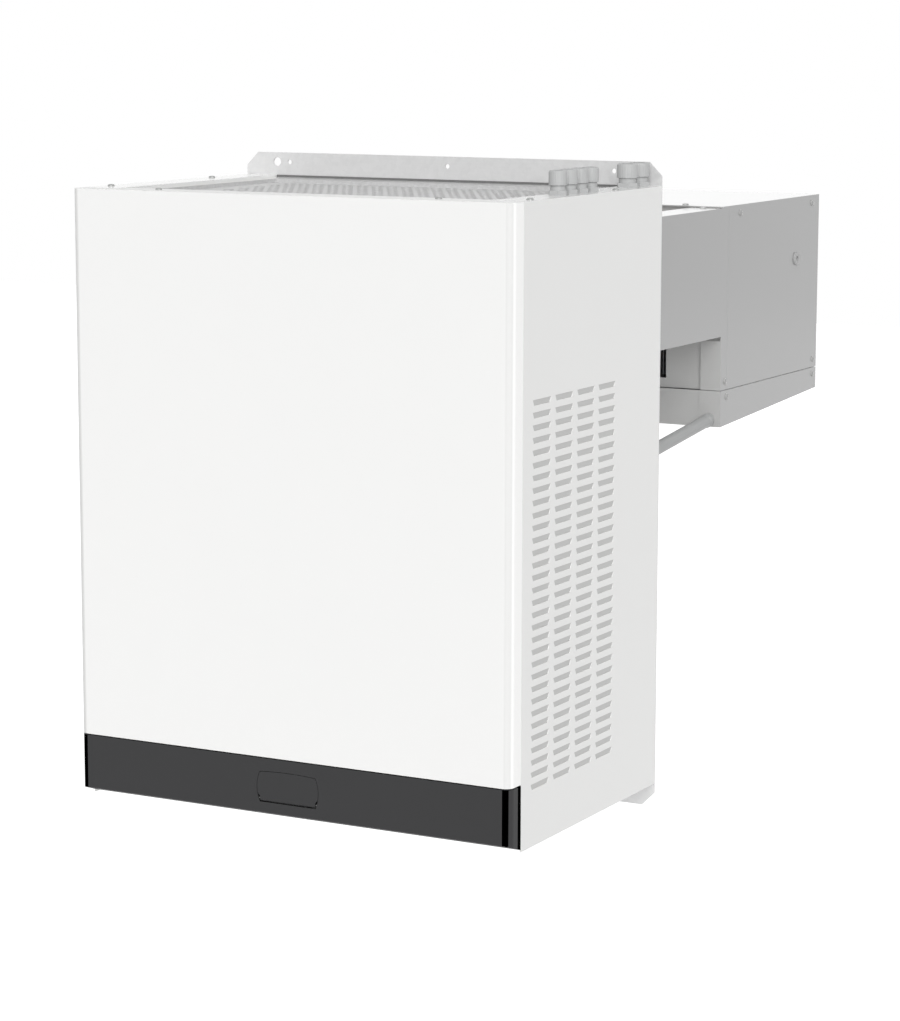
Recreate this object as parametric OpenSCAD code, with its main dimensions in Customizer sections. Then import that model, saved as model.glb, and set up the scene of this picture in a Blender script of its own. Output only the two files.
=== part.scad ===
// Wall-hung monoblock refrigeration unit: a warm condensing section outside the
// cold room, an insulated neck through the wall, and an evaporator inside.
// X is right, Y points into the cold room, Z is up, and lengths are millimetres.
// The origin is the middle of the four wall anchors, on the wall face at Y = 0.

/* [Casing] */
// Width of the condensing section
body_w = 584; // [570:2:620]
// Height of the condensing section
body_h = 735; // [720:5:780]
// Depth of the condensing section, front face to wall
body_d = 392; // [384:2:420]
// Thickness of the folded sheet
sheet_t = 1.5; // [1:0.1:1.8]
// Outer radius of the front panel's upright corners
corner_r = 10; // [6:1:14]
// Depth of the front panel's side returns
front_return = 27; // [24:1:32]
// Width of the border round the open top
top_border = 45; // [42:1:48]
// Depth of the open top below the border
top_recess = 9.5; // [7:0.5:12]
// Height of the dark strip's front edge above the casing's bottom
strip_rise = 12.5; // [10:0.5:14]
// Height of the dark strip
strip_h = 65; // [63:1:72]
// Shadow gap between the strip and the front panel
shadow_gap = 1.5; // [1:0.5:3]

/* [Wall plate] */
// Thickness of the wall plate
plate_t = 2; // [1.5:0.5:3]
// Height of the flanges above and below the casing
flange_h = 28.5; // [26:0.5:34]
// Corner chamfer of the flanges
flange_chamfer = 16.5; // [12:0.5:20]
// Distance of the anchor holes from the casing's sides
anchor_side = 45; // [40:1:60]
// Distance of the anchor holes above and below the casing
anchor_rise = 16.5; // [15:0.5:18]
// Diameter of the anchor holes
anchor_d = 11; // [9:0.5:12]
// Diameter of the small fixing holes
fixing_d = 6; // [4:0.5:7]
// Distance between an anchor hole and the fixing hole beside it
fixing_pitch = 18.5; // [14:0.5:24]

/* [Side louvres] */
// Columns of louvres on each side
louvre_cols = 4; // [2:1:4]
// Rows of louvres on each side
louvre_rows = 32; // [16:1:32]
// Width of one slot along its upper edge
louvre_w = 46; // [36:1:50]
// Height of one slot
louvre_h = 6.5; // [3:0.5:7]
// Distance between columns
louvre_pitch_y = 56.3; // [52:0.1:58]
// Distance between rows
louvre_pitch_z = 14.2; // [12:0.1:14.4]
// Distance of the first column's middle from the front face
louvre_front = 74.2; // [68:0.2:80]
// Height of the lowest row above the casing's bottom
louvre_low = 70; // [60:0.5:76]

/* [Top grille] */
// Diameter of the grille's holes
grille_hole_d = 14; // [8:1:16]
// Distance between holes
grille_pitch = 21; // [18:1:30]

/* [Controller] */
// Width of the flap at its corners
flap_w = 75; // [72:1:84]
// Bulge of each side of the flap
flap_bulge = 4; // [2:0.5:5]
// Height of the flap at its corners
flap_h = 35.5; // [34:0.5:40]
// Bulge of the flap's upper edge
flap_crown = 1.6; // [0.5:0.1:2.5]
// Height of the flap's lower edge above the casing's bottom
flap_rise = 25.5; // [24:0.5:28]
// Gap round the flap
flap_gap = 0.6; // [0.4:0.1:1]
// Size of one key
key_size = 6; // [4:0.5:7]
// Travel of a key
key_travel = 0.8; // [0.4:0.1:1]

/* [Neck] */
// Distance from the wall face to the evaporator
neck_l = 208; // [180:2:240]
// Height of the neck
neck_h = 162.5; // [150:0.5:170]
// Distance from the casing's top down to the neck's top
neck_drop = 38; // [36:0.5:50]
// Width of the neck's top flanges
neck_flange = 43; // [30:1:50]
// Depth of the insulation below the top flanges
foam_recess = 14; // [8:1:20]

/* [Evaporator] */
// Width of the evaporator and of the neck
evap_w = 564; // [550:2:568]
// Depth of the evaporator
evap_d = 326; // [310:2:360]
// Height of the evaporator's sides above the tray
evap_h = 234; // [230:1:250]
// Distance from the casing's top down to the evaporator's top
evap_drop = 36; // [32:0.5:36]
// Height of the drip tray on the wall side
tray_front_h = 46; // [42:1:56]
// Height of the drip tray at the far side
tray_rear_h = 28; // [22:1:34]
// Width of the evaporator's front uprights
upright_w = 28; // [20:1:34]
// Half width of the air intake below the neck
intake_half = 204; // [150:1:210]
// Outer diameter of the drain pipe
drain_d = 16; // [12:1:18]

/* [Fans] */
// Diameter of the condenser fan
fan_d = 280; // [240:5:290]
// Diameter of the evaporator fans
evap_fan_d = 196; // [170:2:200]
// Blades on each fan
blade_count = 5; // [3:1:6]
// Running gap between fan tip and ring
tip_gap = 5; // [3:0.5:7]
// Distance of the evaporator fans from the middle
evap_fan_x = 132; // [115:1:136]

/* [Compressor] */
// Diameter of the compressor shell
comp_d = 178; // [150:2:190]
// Height of the compressor shell
comp_h = 215; // [180:5:235]

/* [Cable glands] */
// Number of small glands
small_glands = 4; // [2:1:4]
// Diameter of a small gland's cap
small_gland_d = 21; // [18:0.5:24]
// Distance between small glands
small_gland_pitch = 28; // [26:0.5:30]
// Diameter of a large gland's cap
large_gland_d = 25; // [22:0.5:27]
// Distance between large glands
large_gland_pitch = 33; // [30:0.5:35]

/* [Hidden] */
$fn = 48;

// Overrun of a cut beyond the face it opens
cut = 1;
// Gap between neighbouring sheets
seam_gap = 0.4;
// Radial clearance of a shaft that turns in a bore
run_gap = 0.05;
// Clearance of a pipe or a moulding in its hole
fit_gap = 0.3;

// Planes of the condensing section
x_side = body_w / 2;
x_in = x_side - sheet_t;
y_front = -body_d;
y_seam = y_front + front_return;
y_side = y_seam + seam_gap;
y_in = -plate_t;
z_bot = -body_h / 2;
z_top = body_h / 2;
z_strip = z_bot + strip_rise;
z_panel = z_strip + strip_h + shadow_gap;
z_grille = z_top - top_recess;
x_lip = x_side - top_border;
y_lip = y_front + top_border;

// Planes of the neck and the evaporator
x_evap = evap_w / 2;
y_evap = neck_l;
y_rear = neck_l + evap_d;
z_neck = z_top - neck_drop;
z_neck_low = z_neck - neck_h;
z_evap = z_top - evap_drop;
z_tray = z_evap - evap_h;

// Base pan: its lift above the casing's bottom and its upturned lip
pan_lift = 10;
pan_lip = 14;
z_pan = z_bot + pan_lift;
z_floor = z_pan + sheet_t;
z_pan_lip = z_pan + pan_lip;

// In-turned edges of the side and front panels
edge_flange = 12;
front_flange = 18;

// Hole and head of the sheet metal screws, and the clip nut behind them
screw_hole_d = 4.5;
screw_d = 4.2;
screw_l = 9;
screw_head_d = 8;
screw_head_h = 2.2;
clip_w = 9;
clip_t = 2.5;
// Screws of the top border: distance from the side, from the front and from the middle
border_screw_side = 12;
border_screw_front = 26;
border_screw_x = 186;
border_screw_y_shares = [0.834, 0.268];
border_screw_y = [for (share = border_screw_y_shares) share * y_front];
// Screws of the evaporator's sides: distances from front, rear, top and bottom edges
side_screw_front = 56;
side_screw_rear = 25;
side_screw_top = 9;
side_screw_low = 11;
tray_screw_front = 20;
tray_screw_drop = 9;
// Screw of the neck's flange, distance from the evaporator
neck_screw = 14;

module span(lo, hi) {
    translate(lo) cube(hi - lo);
}

module rod_z(p, d, l) {
    translate(p) cylinder(d = d, h = l);
}

module rod_y(p, d, l) {
    translate(p) rotate([-90, 0, 0]) cylinder(d = d, h = l);
}

module rod_x(p, d, l) {
    translate(p) rotate([0, 90, 0]) cylinder(d = d, h = l);
}

module both_sides() {
    children();
    mirror([1, 0, 0]) children();
}

// Extrudes a side view, drawn as Y and Z, across the part from x0 to x1
module across(x0, x1) {
    translate([x0, 0, 0]) rotate([90, 0, 90]) linear_extrude(x1 - x0) children();
}

// Extrudes a front view, drawn as X and Z, along Y from y0 to y1
module along(y0, y1) {
    translate([0, y1, 0]) rotate([90, 0, 0]) linear_extrude(y1 - y0) children();
}

// Four walls of a tray from lo to hi, without floor
module lip_ring(lo, hi, t) {
    difference() {
        span(lo, hi);
        span(lo + [t, t, -cut], hi - [t, t, -cut]);
    }
}

// A line of tube through points, with round bends of radius r between soldered sockets
socket_l = 7;
socket_lap = 0.6;
socket_t = 0.8;
joint_gap = 0.2;

module tube_run(points, d, r) {
    last = len(points) - 1;
    for (i = [0 : last - 1]) {
        a = points[i];
        b = points[i + 1];
        u = unit(b - a);
        start = i == 0 ? 0 : bend_set(points, i, r) + joint_gap;
        end = i == last - 1 ? 0 : bend_set(points, i + 1, r) + joint_gap;
        stick(a + u * start, b - u * end, d);
        if (i > 0) socket(a + u * start, u, d);
        if (i < last - 1) socket(b - u * end, -u, d);
    }
    for (i = [1 : 1 : last - 1]) bend(points, i, d, r);
}

module socket(p, u, d) {
    stick(p - u * (joint_gap + socket_lap), p + u * socket_l, d + 2 * socket_t);
}

function unit(v) = v / norm(v);
function turn(points, i) =
    let (u = unit(points[i] - points[i - 1]), v = unit(points[i + 1] - points[i]))
    acos(u * v);
function bend_set(points, i, r) = r * tan(turn(points, i) / 2);

module stick(a, b, d) {
    v = b - a;
    w = unit(v);
    side = abs(w[2]) > 0.9 ? [1, 0, 0] : [0, 0, 1];
    e1 = unit(cross(side, w));
    e2 = cross(w, e1);
    multmatrix([
        [e1[0], e2[0], w[0], a[0]],
        [e1[1], e2[1], w[1], a[1]],
        [e1[2], e2[2], w[2], a[2]]])
        cylinder(d = d, h = norm(v));
}

module bend(points, i, d, r) {
    p = points[i];
    u = unit(p - points[i - 1]);
    v = unit(points[i + 1] - p);
    angle = turn(points, i);
    w = unit(v - u * (u * v));
    n = cross(u, w);
    c = p - u * bend_set(points, i, r) + w * r;
    multmatrix([
        [-w[0], u[0], n[0], c[0]],
        [-w[1], u[1], n[1], c[1]],
        [-w[2], u[2], n[2], c[2]]])
        rotate_extrude(angle = angle) translate([r, 0]) circle(d = d);
}

// A pan head screw along -Z from the sheet's face at p, with its clip nut behind the sheets
module screw_down(p, sheets = 1) {
    translate(p) {
        cylinder(d = screw_head_d, h = screw_head_h);
        translate([0, 0, -screw_l]) cylinder(d = screw_d, h = screw_l + cut);
        translate([-clip_w / 2, -clip_w / 2, -sheets * sheet_t - clip_t])
            cube([clip_w, clip_w, clip_t]);
    }
}

// The same screw along -X, for a face that looks along +X
module screw_in_x(p, sheets = 1) {
    translate(p) rotate([0, 90, 0]) screw_down([0, 0, 0], sheets);
}

// Wall plate

neck_clear = 0.3;

// The wall plate is as wide as the casing, and wider than the neck by this much on each side
plate_side = 10;
x_plate = max(x_side, x_evap + plate_side);

function anchor_points(inset) = [
    for (sx = [-1, 1], sz = [-1, 1])
        [sx * (x_plate - anchor_side - inset), sz * (z_top + anchor_rise)]];

module wall_outline() {
    half = x_plate;
    high = z_top + flange_h;
    c = flange_chamfer;
    polygon([
        [-half, c - high], [c - half, -high], [half - c, -high], [half, c - high],
        [half, high - c], [half - c, high], [c - half, high], [-half, high - c]]);
}

module wall_plate() {
    color("gainsboro") difference() {
        along(-plate_t, 0) wall_outline();
        span([-x_evap - neck_clear, -plate_t - cut, z_neck_low - neck_clear],
             [x_evap + neck_clear, cut, z_neck + neck_clear]);
        for (p = anchor_points(0)) rod_y([p[0], -plate_t - cut, p[1]], anchor_d, plate_t + 2 * cut);
        for (p = anchor_points(fixing_pitch))
            rod_y([p[0], -plate_t - cut, p[1]], fixing_d, plate_t + 2 * cut);
        for (s = [-1, 1])
            rod_y([0, -plate_t - cut, s * (z_top + anchor_rise)], fixing_d, plate_t + 2 * cut);
        drain_run(drain_d + 2 * fit_gap);
    }
}

// Casing sheets

// Plan of the front panel and the strip, open at the back
module front_plan(inset, back) {
    half = x_side - inset;
    r = corner_r - inset;
    y0 = y_front + inset;
    translate([-half, y0 + r]) square([2 * half, back - y0 - r]);
    translate([r - half, y0]) square([2 * (half - r), r + cut]);
    for (s = [-1, 1]) translate([s * (half - r), y0 + r]) circle(r);
}

module front_band(z0, z1) {
    translate([0, 0, z0]) linear_extrude(z1 - z0) difference() {
        front_plan(0, y_seam);
        front_plan(sheet_t, y_seam + cut);
    }
}

module front_panel() {
    color("white") difference() {
        union() {
            front_band(z_panel, z_top);
            translate([0, 0, z_panel]) linear_extrude(sheet_t) front_plan(0, y_seam);
            translate([0, 0, z_top - sheet_t]) linear_extrude(sheet_t) front_plan(0, y_seam);
            span([seam_gap - x_lip, y_front + corner_r, z_top - sheet_t],
                 [x_lip - seam_gap, y_lip, z_top]);
            span([seam_gap - x_lip, y_lip - sheet_t, z_grille - sheet_t],
                 [x_lip - seam_gap, y_lip, z_top]);
            both_sides() span([x_side - edge_flange, y_seam - sheet_t, z_panel],
                              [x_in + sheet_t / 2, y_seam, z_top]);
        }
        for (s = [-1, 1])
            rod_z([s * border_screw_x, y_front + border_screw_front, z_top - sheet_t - cut],
                  screw_hole_d, sheet_t + 2 * cut);
    }
}

// One louvre, wider along its upper edge, drawn as Y and Z about its middle
lower_share = 0.86;
module louvre_slot() {
    polygon([
        [-louvre_w / 2, louvre_h / 2], [louvre_w / 2, louvre_h / 2],
        [louvre_w / 2 * lower_share, -louvre_h / 2], [-louvre_w / 2 * lower_share, -louvre_h / 2]]);
}

module side_sheet() {
    difference() {
        union() {
            span([x_in, y_side, z_bot], [x_side, y_in, z_top]);
            span([x_lip, y_side, z_top - sheet_t], [x_side, y_in, z_top]);
            span([x_lip, y_lip, z_grille - sheet_t], [x_lip + sheet_t, y_in, z_top]);
            span([x_side - front_flange, y_side, z_pan_lip + seam_gap],
                 [x_side, y_side + sheet_t, z_top]);
            span([x_side - edge_flange, y_in - sheet_t, z_pan_lip + seam_gap],
                 [x_side, y_in, z_top]);
        }
        for (col = [0 : louvre_cols - 1], row = [0 : louvre_rows - 1])
            translate([0, y_front + louvre_front + col * louvre_pitch_y,
                       z_bot + louvre_low + row * louvre_pitch_z])
                across(x_in - cut, x_side + cut) louvre_slot();
        for (y = border_screw_y)
            rod_z([x_side - border_screw_side, y, z_top - sheet_t - cut],
                  screw_hole_d, sheet_t + 2 * cut);
    }
}

module left_side_panel() {
    color("whitesmoke") mirror([1, 0, 0]) side_sheet();
}

module right_side_panel() {
    color("whitesmoke") difference() {
        side_sheet();
        for (y = small_gland_y) rod_z([gland_x, y, z_top - sheet_t - cut],
                                      small_thread_d + 2 * fit_gap, sheet_t + 2 * cut);
        for (y = large_gland_y) rod_z([gland_x, y, z_top - sheet_t - cut],
                                      large_thread_d + 2 * fit_gap, sheet_t + 2 * cut);
        drain_run(drain_d + 2 * fit_gap);
    }
}

module base_pan() {
    color("silver") difference() {
        union() {
            span([-x_in, y_side, z_pan], [x_in, y_in, z_floor]);
            lip_ring([-x_in, y_side, z_pan], [x_in, y_in, z_pan_lip], sheet_t);
        }
        for (p = foot_points) rod_z([p[0], p[1], z_pan - cut], bolt_d + 2 * fit_gap, pan_lift);
    }
}

// Grille: a perforated tray that sits between the lips of the border
grille_gap = 0.4;
grille_rim = 6;
grille_margin = 16;
x_grille = x_lip - grille_gap;
y_grille = y_lip + grille_gap;
grille_cols = floor((x_grille - grille_margin) / grille_pitch);
grille_row_pitch = grille_pitch * sqrt(3) / 2;
grille_rows = floor((y_in - y_grille - 2 * grille_margin) / grille_row_pitch);
rear_slot = 3;

module top_grille() {
    y1 = y_in - sheet_t - rear_slot;
    middle = (y_grille + y1) / 2;
    color("silver") difference() {
        union() {
            span([-x_grille, y_grille, z_grille - sheet_t], [x_grille, y1, z_grille]);
            lip_ring([-x_grille, y_grille, z_grille - sheet_t],
                     [x_grille, y1, z_grille + grille_rim - sheet_t], sheet_t);
        }
        for (row = [0 : grille_rows - 1])
            let (odd = row % 2, y = middle + (row - (grille_rows - 1) / 2) * grille_row_pitch)
                for (col = [-grille_cols : grille_cols - odd])
                    rod_z([(col + odd / 2) * grille_pitch, y, z_grille - sheet_t - cut],
                          grille_hole_d, sheet_t + 2 * cut);
    }
}

// Dark strip and controller

// The strip's underside rises towards the front by this much
strip_slope = 9.5;
z_flap = z_bot + flap_rise;
hinge_r = 3;
flap_pin_d = 2;
ear_in = 3;
ear_t = 3;
leaf_step = 0.5;
flap_side_r = (flap_h * flap_h / 4 + flap_bulge * flap_bulge) / (2 * flap_bulge);
flap_top_r = (flap_w * flap_w / 4 + flap_crown * flap_crown) / (2 * flap_crown);
flap_half = flap_w / 2;
y_hinge = y_front + hinge_r;
z_hinge = z_flap + hinge_r;
x_ear = flap_half + ear_in;

// Barrel outline of the flap, grown by g
module flap_outline(g) {
    high = flap_h + flap_crown;
    intersection() {
        translate([-flap_half - flap_bulge - g, z_flap - g])
            square([flap_w + 2 * (flap_bulge + g), high + 2 * g]);
        for (s = [-1, 1]) flap_side(s, g);
        translate([0, z_flap + high - flap_top_r]) circle(flap_top_r + g, $fn = 180);
    }
}

module flap_side(s, g) {
    translate([-s * (flap_side_r - flap_half - flap_bulge), z_flap + flap_h / 2])
        circle(flap_side_r + g, $fn = 96);
}

module strip_profile(low, high, back) {
    z_low = z_strip - strip_slope;
    polygon([
        [y_front, z_strip + low], [y_seam, z_low + low], [back, z_low + low],
        [back, z_strip + strip_h - high], [y_front, z_strip + strip_h - high]]);
}

module strip_solid(inset, back) {
    intersection() {
        translate([0, 0, z_bot - cut]) linear_extrude(strip_h + strip_rise + 2 * cut)
            front_plan(inset, back);
        across(-x_side, x_side) strip_profile(inset, inset, back);
    }
}

module kick_strip() {
    ear_back = y_hinge + hinge_r;
    color("dimgray") difference() {
        union() {
            difference() {
                strip_solid(0, y_seam);
                strip_solid(sheet_t, y_seam + cut);
            }
            both_sides() span([x_ear, y_front + sheet_t / 2, z_flap],
                              [x_ear + ear_t, ear_back, z_hinge + hinge_r]);
        }
        along(y_front - cut, y_front + sheet_t) flap_outline(flap_gap);
        rod_x([-x_ear - ear_t - cut, y_hinge, z_hinge], flap_pin_d, 2 * (x_ear + ear_t + cut));
    }
}

// Front view of the flap's leaf. Its lower corners are cut away, because they swing down past the
// narrower part of the strip's opening.
module leaf_outline() {
    wide = flap_half + flap_bulge;
    low = z_hinge + hinge_r + leaf_step;
    intersection() {
        flap_outline(0);
        polygon([
            [-flap_half, z_hinge], [flap_half, z_hinge], [flap_half, low], [wide, low + flap_bulge],
            [wide, z_panel], [-wide, z_panel], [-wide, low + flap_bulge], [-flap_half, low]]);
    }
}

module controller_flap() {
    color("dimgray") difference() {
        union() {
            along(y_front, y_front + sheet_t) leaf_outline();
            rod_x([seam_gap - flap_half, y_hinge, z_hinge], 2 * hinge_r, flap_w - 2 * seam_gap);
        }
        rod_x([-x_ear, y_hinge, z_hinge], flap_pin_d + 2 * run_gap, 2 * x_ear);
    }
}

module flap_pin() {
    color("silver") rod_x([-x_ear - ear_t, y_hinge, z_hinge], flap_pin_d, 2 * (x_ear + ear_t));
}

// Controller: a bezel in front of a case that clips in a bracket
bezel_w = 74;
bezel_h = 30;
bezel_t = 3;
bezel_back = 8;
case_w = 70;
case_h = 26;
case_l = 55;
key_l = 4;
key_proud = 1;
key_gap = 0.3;
window_w = 30;
window_h = 15;
window_t = 1.2;
window_share = -0.16;
key_x_shares = [0.2, 0.36];
key_z_shares = [-0.22, 0.22];
y_bezel = y_front + bezel_back;
z_case = z_flap + (flap_h + hinge_r) / 2;
bracket_wing = 14;

function key_point(i) = [
    bezel_w * key_x_shares[i % 2], y_bezel, z_case + bezel_h * key_z_shares[floor(i / 2)]];

module key_block(i, g, y0, y1) {
    p = key_point(i);
    half = key_size / 2 + g;
    span([p[0] - half, y0, p[2] - half], [p[0] + half, y1, p[2] + half]);
}

module key(i) {
    color("gray") key_block(i, 0, y_bezel - key_proud, y_bezel - key_proud + key_l);
}

module window_block(g, back) {
    x = bezel_w * window_share;
    span([x - window_w / 2 - g, y_bezel - (g > 0 ? cut : 0), z_case - window_h / 2 - g],
         [x + window_w / 2 + g, y_bezel + back, z_case + window_h / 2 + g]);
}

module controller_case() {
    color("black") difference() {
        union() {
            span([-bezel_w / 2, y_bezel, z_case - bezel_h / 2],
                 [bezel_w / 2, y_bezel + bezel_t, z_case + bezel_h / 2]);
            span([-case_w / 2, y_bezel, z_case - case_h / 2],
                 [case_w / 2, y_bezel + case_l, z_case + case_h / 2]);
        }
        for (i = [0 : 3])
            key_block(i, key_gap, y_bezel - cut, y_bezel - key_proud + key_l + key_travel + key_gap);
        window_block(seam_gap / 4, window_t);
    }
}

module controller_bracket() {
    y0 = y_bezel + bezel_t;
    wing_x = x_ear + ear_t + bracket_wing;
    color("silver") difference() {
        union() {
            span([-wing_x, y0, z_case - bezel_h / 2], [wing_x, y0 + sheet_t, z_case + bezel_h / 2]);
            both_sides() span([wing_x - sheet_t, y_front + sheet_t, z_case - bezel_h / 2],
                              [wing_x, y0, z_case + bezel_h / 2]);
        }
        span([-case_w / 2 - fit_gap, y0 - cut, z_case - case_h / 2 - fit_gap],
             [case_w / 2 + fit_gap, y0 + 2 * cut, z_case + case_h / 2 + fit_gap]);
    }
}

module display_window() {
    color("darkred") window_block(0, window_t);
}

// Cable glands on the right border
gland_in = 23.5;
gland_x = x_side - gland_in;
small_thread_d = 16;
large_thread_d = 20;
gland_hex_h = 5.5;
gland_neck_h = 6;
small_cap_h = 17;
large_cap_h = 17;
gland_tail = 6.5;
gland_nut_h = 4;
gland_bore_share = 0.5;
gland_dome_share = 0.2;
gland_neck_share = 0.9;
small_gland_wall = 151;
large_gland_wall = 16;
small_gland_y = [for (i = [0 : small_glands - 1]) -small_gland_wall - i * small_gland_pitch];
large_gland_y = [for (i = [0 : 1]) -large_gland_wall - i * large_gland_pitch];

module gland(y, cap_d, thread_d, cap_h) {
    dome_r = cap_h * gland_dome_share;
    neck_d = cap_d * gland_neck_share;
    translate([gland_x, y, z_top]) difference() {
        union() {
            cylinder(d = cap_d, h = gland_hex_h, $fn = 6);
            cylinder(d = neck_d, h = gland_hex_h + gland_neck_h);
            translate([0, 0, gland_hex_h + gland_neck_h]) {
                cylinder(d = cap_d, h = cap_h - dome_r);
                translate([0, 0, cap_h - dome_r])
                    cylinder(d1 = cap_d, d2 = cap_d - 2 * dome_r, h = dome_r);
            }
            translate([0, 0, -gland_tail]) cylinder(d = thread_d, h = gland_tail + cut);
            translate([0, 0, -sheet_t - gland_nut_h]) cylinder(d = cap_d, h = gland_nut_h, $fn = 6);
        }
        translate([0, 0, -gland_tail - cut])
            cylinder(d = thread_d * gland_bore_share,
                     h = gland_tail + gland_hex_h + gland_neck_h + cap_h + 2 * cut);
    }
}

module small_glands() {
    color("gray") for (y = small_gland_y) gland(y, small_gland_d, small_thread_d, small_cap_h);
}

module large_glands() {
    color("gray") for (y = large_gland_y) gland(y, large_gland_d, large_thread_d, large_cap_h);
}

// Electrical box behind the right side panel, under the glands
box_w = 94;
box_h = 200;
box_front = 62;
box_lid_lap = 12;
x_box = x_in - box_w;
y_box = y_front + box_front;
y_box_rear = y_in - sheet_t - seam_gap;
z_box = z_grille - sheet_t - gland_tail;
z_box_low = z_box - box_h;
cable_hole_d = 14;

module electrical_box() {
    color("lightgray") difference() {
        span([x_box, y_box, z_box_low], [x_in, y_box_rear, z_box]);
        span([x_box + sheet_t, y_box - cut, z_box_low + sheet_t],
             [x_in - sheet_t, y_box_rear - sheet_t, z_box - sheet_t]);
        for (y = small_gland_y)
            rod_z([gland_x, y, z_box - sheet_t - cut], cable_hole_d, sheet_t + 2 * cut);
        for (y = large_gland_y)
            rod_z([gland_x, y, z_box - sheet_t - cut], cable_hole_d, sheet_t + 2 * cut);
    }
}

module electrical_lid() {
    color("lightgray") difference() {
        union() {
            span([x_box, y_box - sheet_t, z_box_low], [x_in, y_box, z_box]);
            lip_y([x_box + sheet_t + seam_gap, y_box, z_box_low + sheet_t + seam_gap],
                  [x_in - sheet_t - seam_gap, y_box + box_lid_lap, z_box - sheet_t - seam_gap]);
        }
    }
}

// Four walls of a lid's rim that runs along Y from lo to hi
module lip_y(lo, hi) {
    difference() {
        span(lo, hi);
        span(lo + [sheet_t, -cut, sheet_t], hi - [sheet_t, -cut, sheet_t]);
    }
}

// Board on stand-offs, terminal block and contactor on the box's left wall
board_off = 8;
board_t = 1.6;
board_edge = 20;
post_d = 6;
board_gap = 34.6;
way_share = 0.55;
block_size = [28, 88, 16];
y_board = y_box + box_lid_lap + board_edge;
y_block = y_box_rear - sheet_t - board_edge - block_size[1];
board_l = y_block - board_gap - y_board;
relay_end = 22;
relay_share = 0.875;
relay_pitch = (board_l - relay_end) / 4;
relay_size = [16, relay_pitch * relay_share, 14];
contactor_size = [62, 45, 56];
plunger_size = [9, 32, 28];
contactor_gap = 14;

module control_board() {
    x0 = x_box + sheet_t;
    x1 = x0 + board_off;
    y0 = y_board;
    y1 = y0 + board_l;
    z0 = z_box_low + sheet_t + contactor_size[2] + board_edge;
    z1 = z_box - sheet_t - board_edge;
    color("darkgreen") {
        span([x1, y0, z0], [x1 + board_t, y1, z1]);
        for (y = [y0 + post_d, y1 - post_d], z = [z0 + post_d, z1 - post_d])
            rod_x([x0, y, z], post_d, board_off);
        for (i = [0 : 3])
            translate([x1 + board_t, y0 + 2 * post_d + i * relay_pitch, z0 + 2 * post_d])
                cube(relay_size);
        rod_x([x1 + board_t, y0 + 4 * post_d, z1 - 3 * post_d], 3 * post_d, 4 * post_d);
    }
}

module terminal_block() {
    x0 = x_box + sheet_t;
    y1 = y_block + block_size[1];
    z0 = z_box_low + sheet_t + contactor_size[2] + 2 * board_edge;
    ways = 10;
    pitch = block_size[1] / ways;
    color("ivory") difference() {
        span([x0, y_block, z0], [x0 + block_size[0], y1, z0 + block_size[2]]);
        for (i = [0 : ways - 1])
            rod_x([x0 + block_size[0] / 2, y1 - (i + 0.5) * pitch, z0 + block_size[2] / 2],
                  pitch * way_share, block_size[0]);
    }
}

module contactor() {
    x0 = x_box + sheet_t;
    y0 = y_box + box_lid_lap + 2 * contactor_gap;
    z0 = z_box_low + sheet_t;
    pitch = contactor_size[1] + contactor_gap;
    color("darkgray") for (i = [0 : 1]) translate([x0, y0 + i * pitch, z0]) {
        cube(contactor_size);
        translate([contactor_size[0], (contactor_size[1] - plunger_size[1]) / 2,
                   (contactor_size[2] - plunger_size[2]) / 2])
            cube(plunger_size);
    }
}

// Compressor, which stands beside the suction line
suction_in = 54;
stub_out = 43;
suction_x = suction_in - min(x_evap, x_in);
comp_x = suction_x + stub_out + comp_d / 2;
comp_y = y_front * 0.52;
foot_half = [88, 74];
foot_margin = 16;
foot_t = 3;
grommet_d = 26;
grommet_h = 16;
grommet_waist_d = 17;
foot_lift = 8;
bolt_d = 8;
bolt_head_d = 15;
bolt_head_h = 5;
bolt_nut_h = 6;
z_foot = z_floor + foot_lift;
z_shell = z_foot + foot_t;
dome_share = 0.24;
foot_points = [for (sx = [-1, 1], sy = [-1, 1]) [comp_x + sx * foot_half[0], comp_y + sy * foot_half[1]]];
stub_share = 0.8;
seam_share = 0.55;

// Half section of a can with rounded ends
module can_half(r, h, fillet) {
    translate([0, fillet]) square([r, h - 2 * fillet]);
    square([r - fillet, h]);
    intersection() {
        square([r, h]);
        for (z = [fillet, h - fillet]) translate([r - fillet, z]) circle(fillet);
    }
}

module compressor_shell() {
    r = comp_d / 2;
    seam_h = comp_h * seam_share;
    color("black") translate([comp_x, comp_y, z_shell]) {
        rotate_extrude() can_half(r, comp_h, comp_d * dome_share);
        translate([0, 0, seam_h]) cylinder(r = r + 2 * sheet_t, h = 2 * sheet_t);
    }
}

module compressor_feet() {
    half = [foot_half[0] + foot_margin, foot_half[1] + foot_margin];
    color("dimgray") difference() {
        span([comp_x - half[0], comp_y - half[1], z_foot], [comp_x + half[0], comp_y + half[1], z_shell]);
        for (p = foot_points)
            rod_z([p[0], p[1], z_foot - cut], grommet_waist_d + 2 * run_gap, foot_t + 2 * cut);
    }
}

module compressor_grommets() {
    color("black") for (p = foot_points) difference() {
        union() {
            rod_z([p[0], p[1], z_floor], grommet_d, foot_lift);
            rod_z([p[0], p[1], z_floor], grommet_waist_d, grommet_h);
            rod_z([p[0], p[1], z_shell], grommet_d, grommet_h - foot_lift - foot_t);
        }
        rod_z([p[0], p[1], z_floor - cut], bolt_d + 2 * fit_gap, grommet_h + 2 * cut);
    }
}

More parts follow.
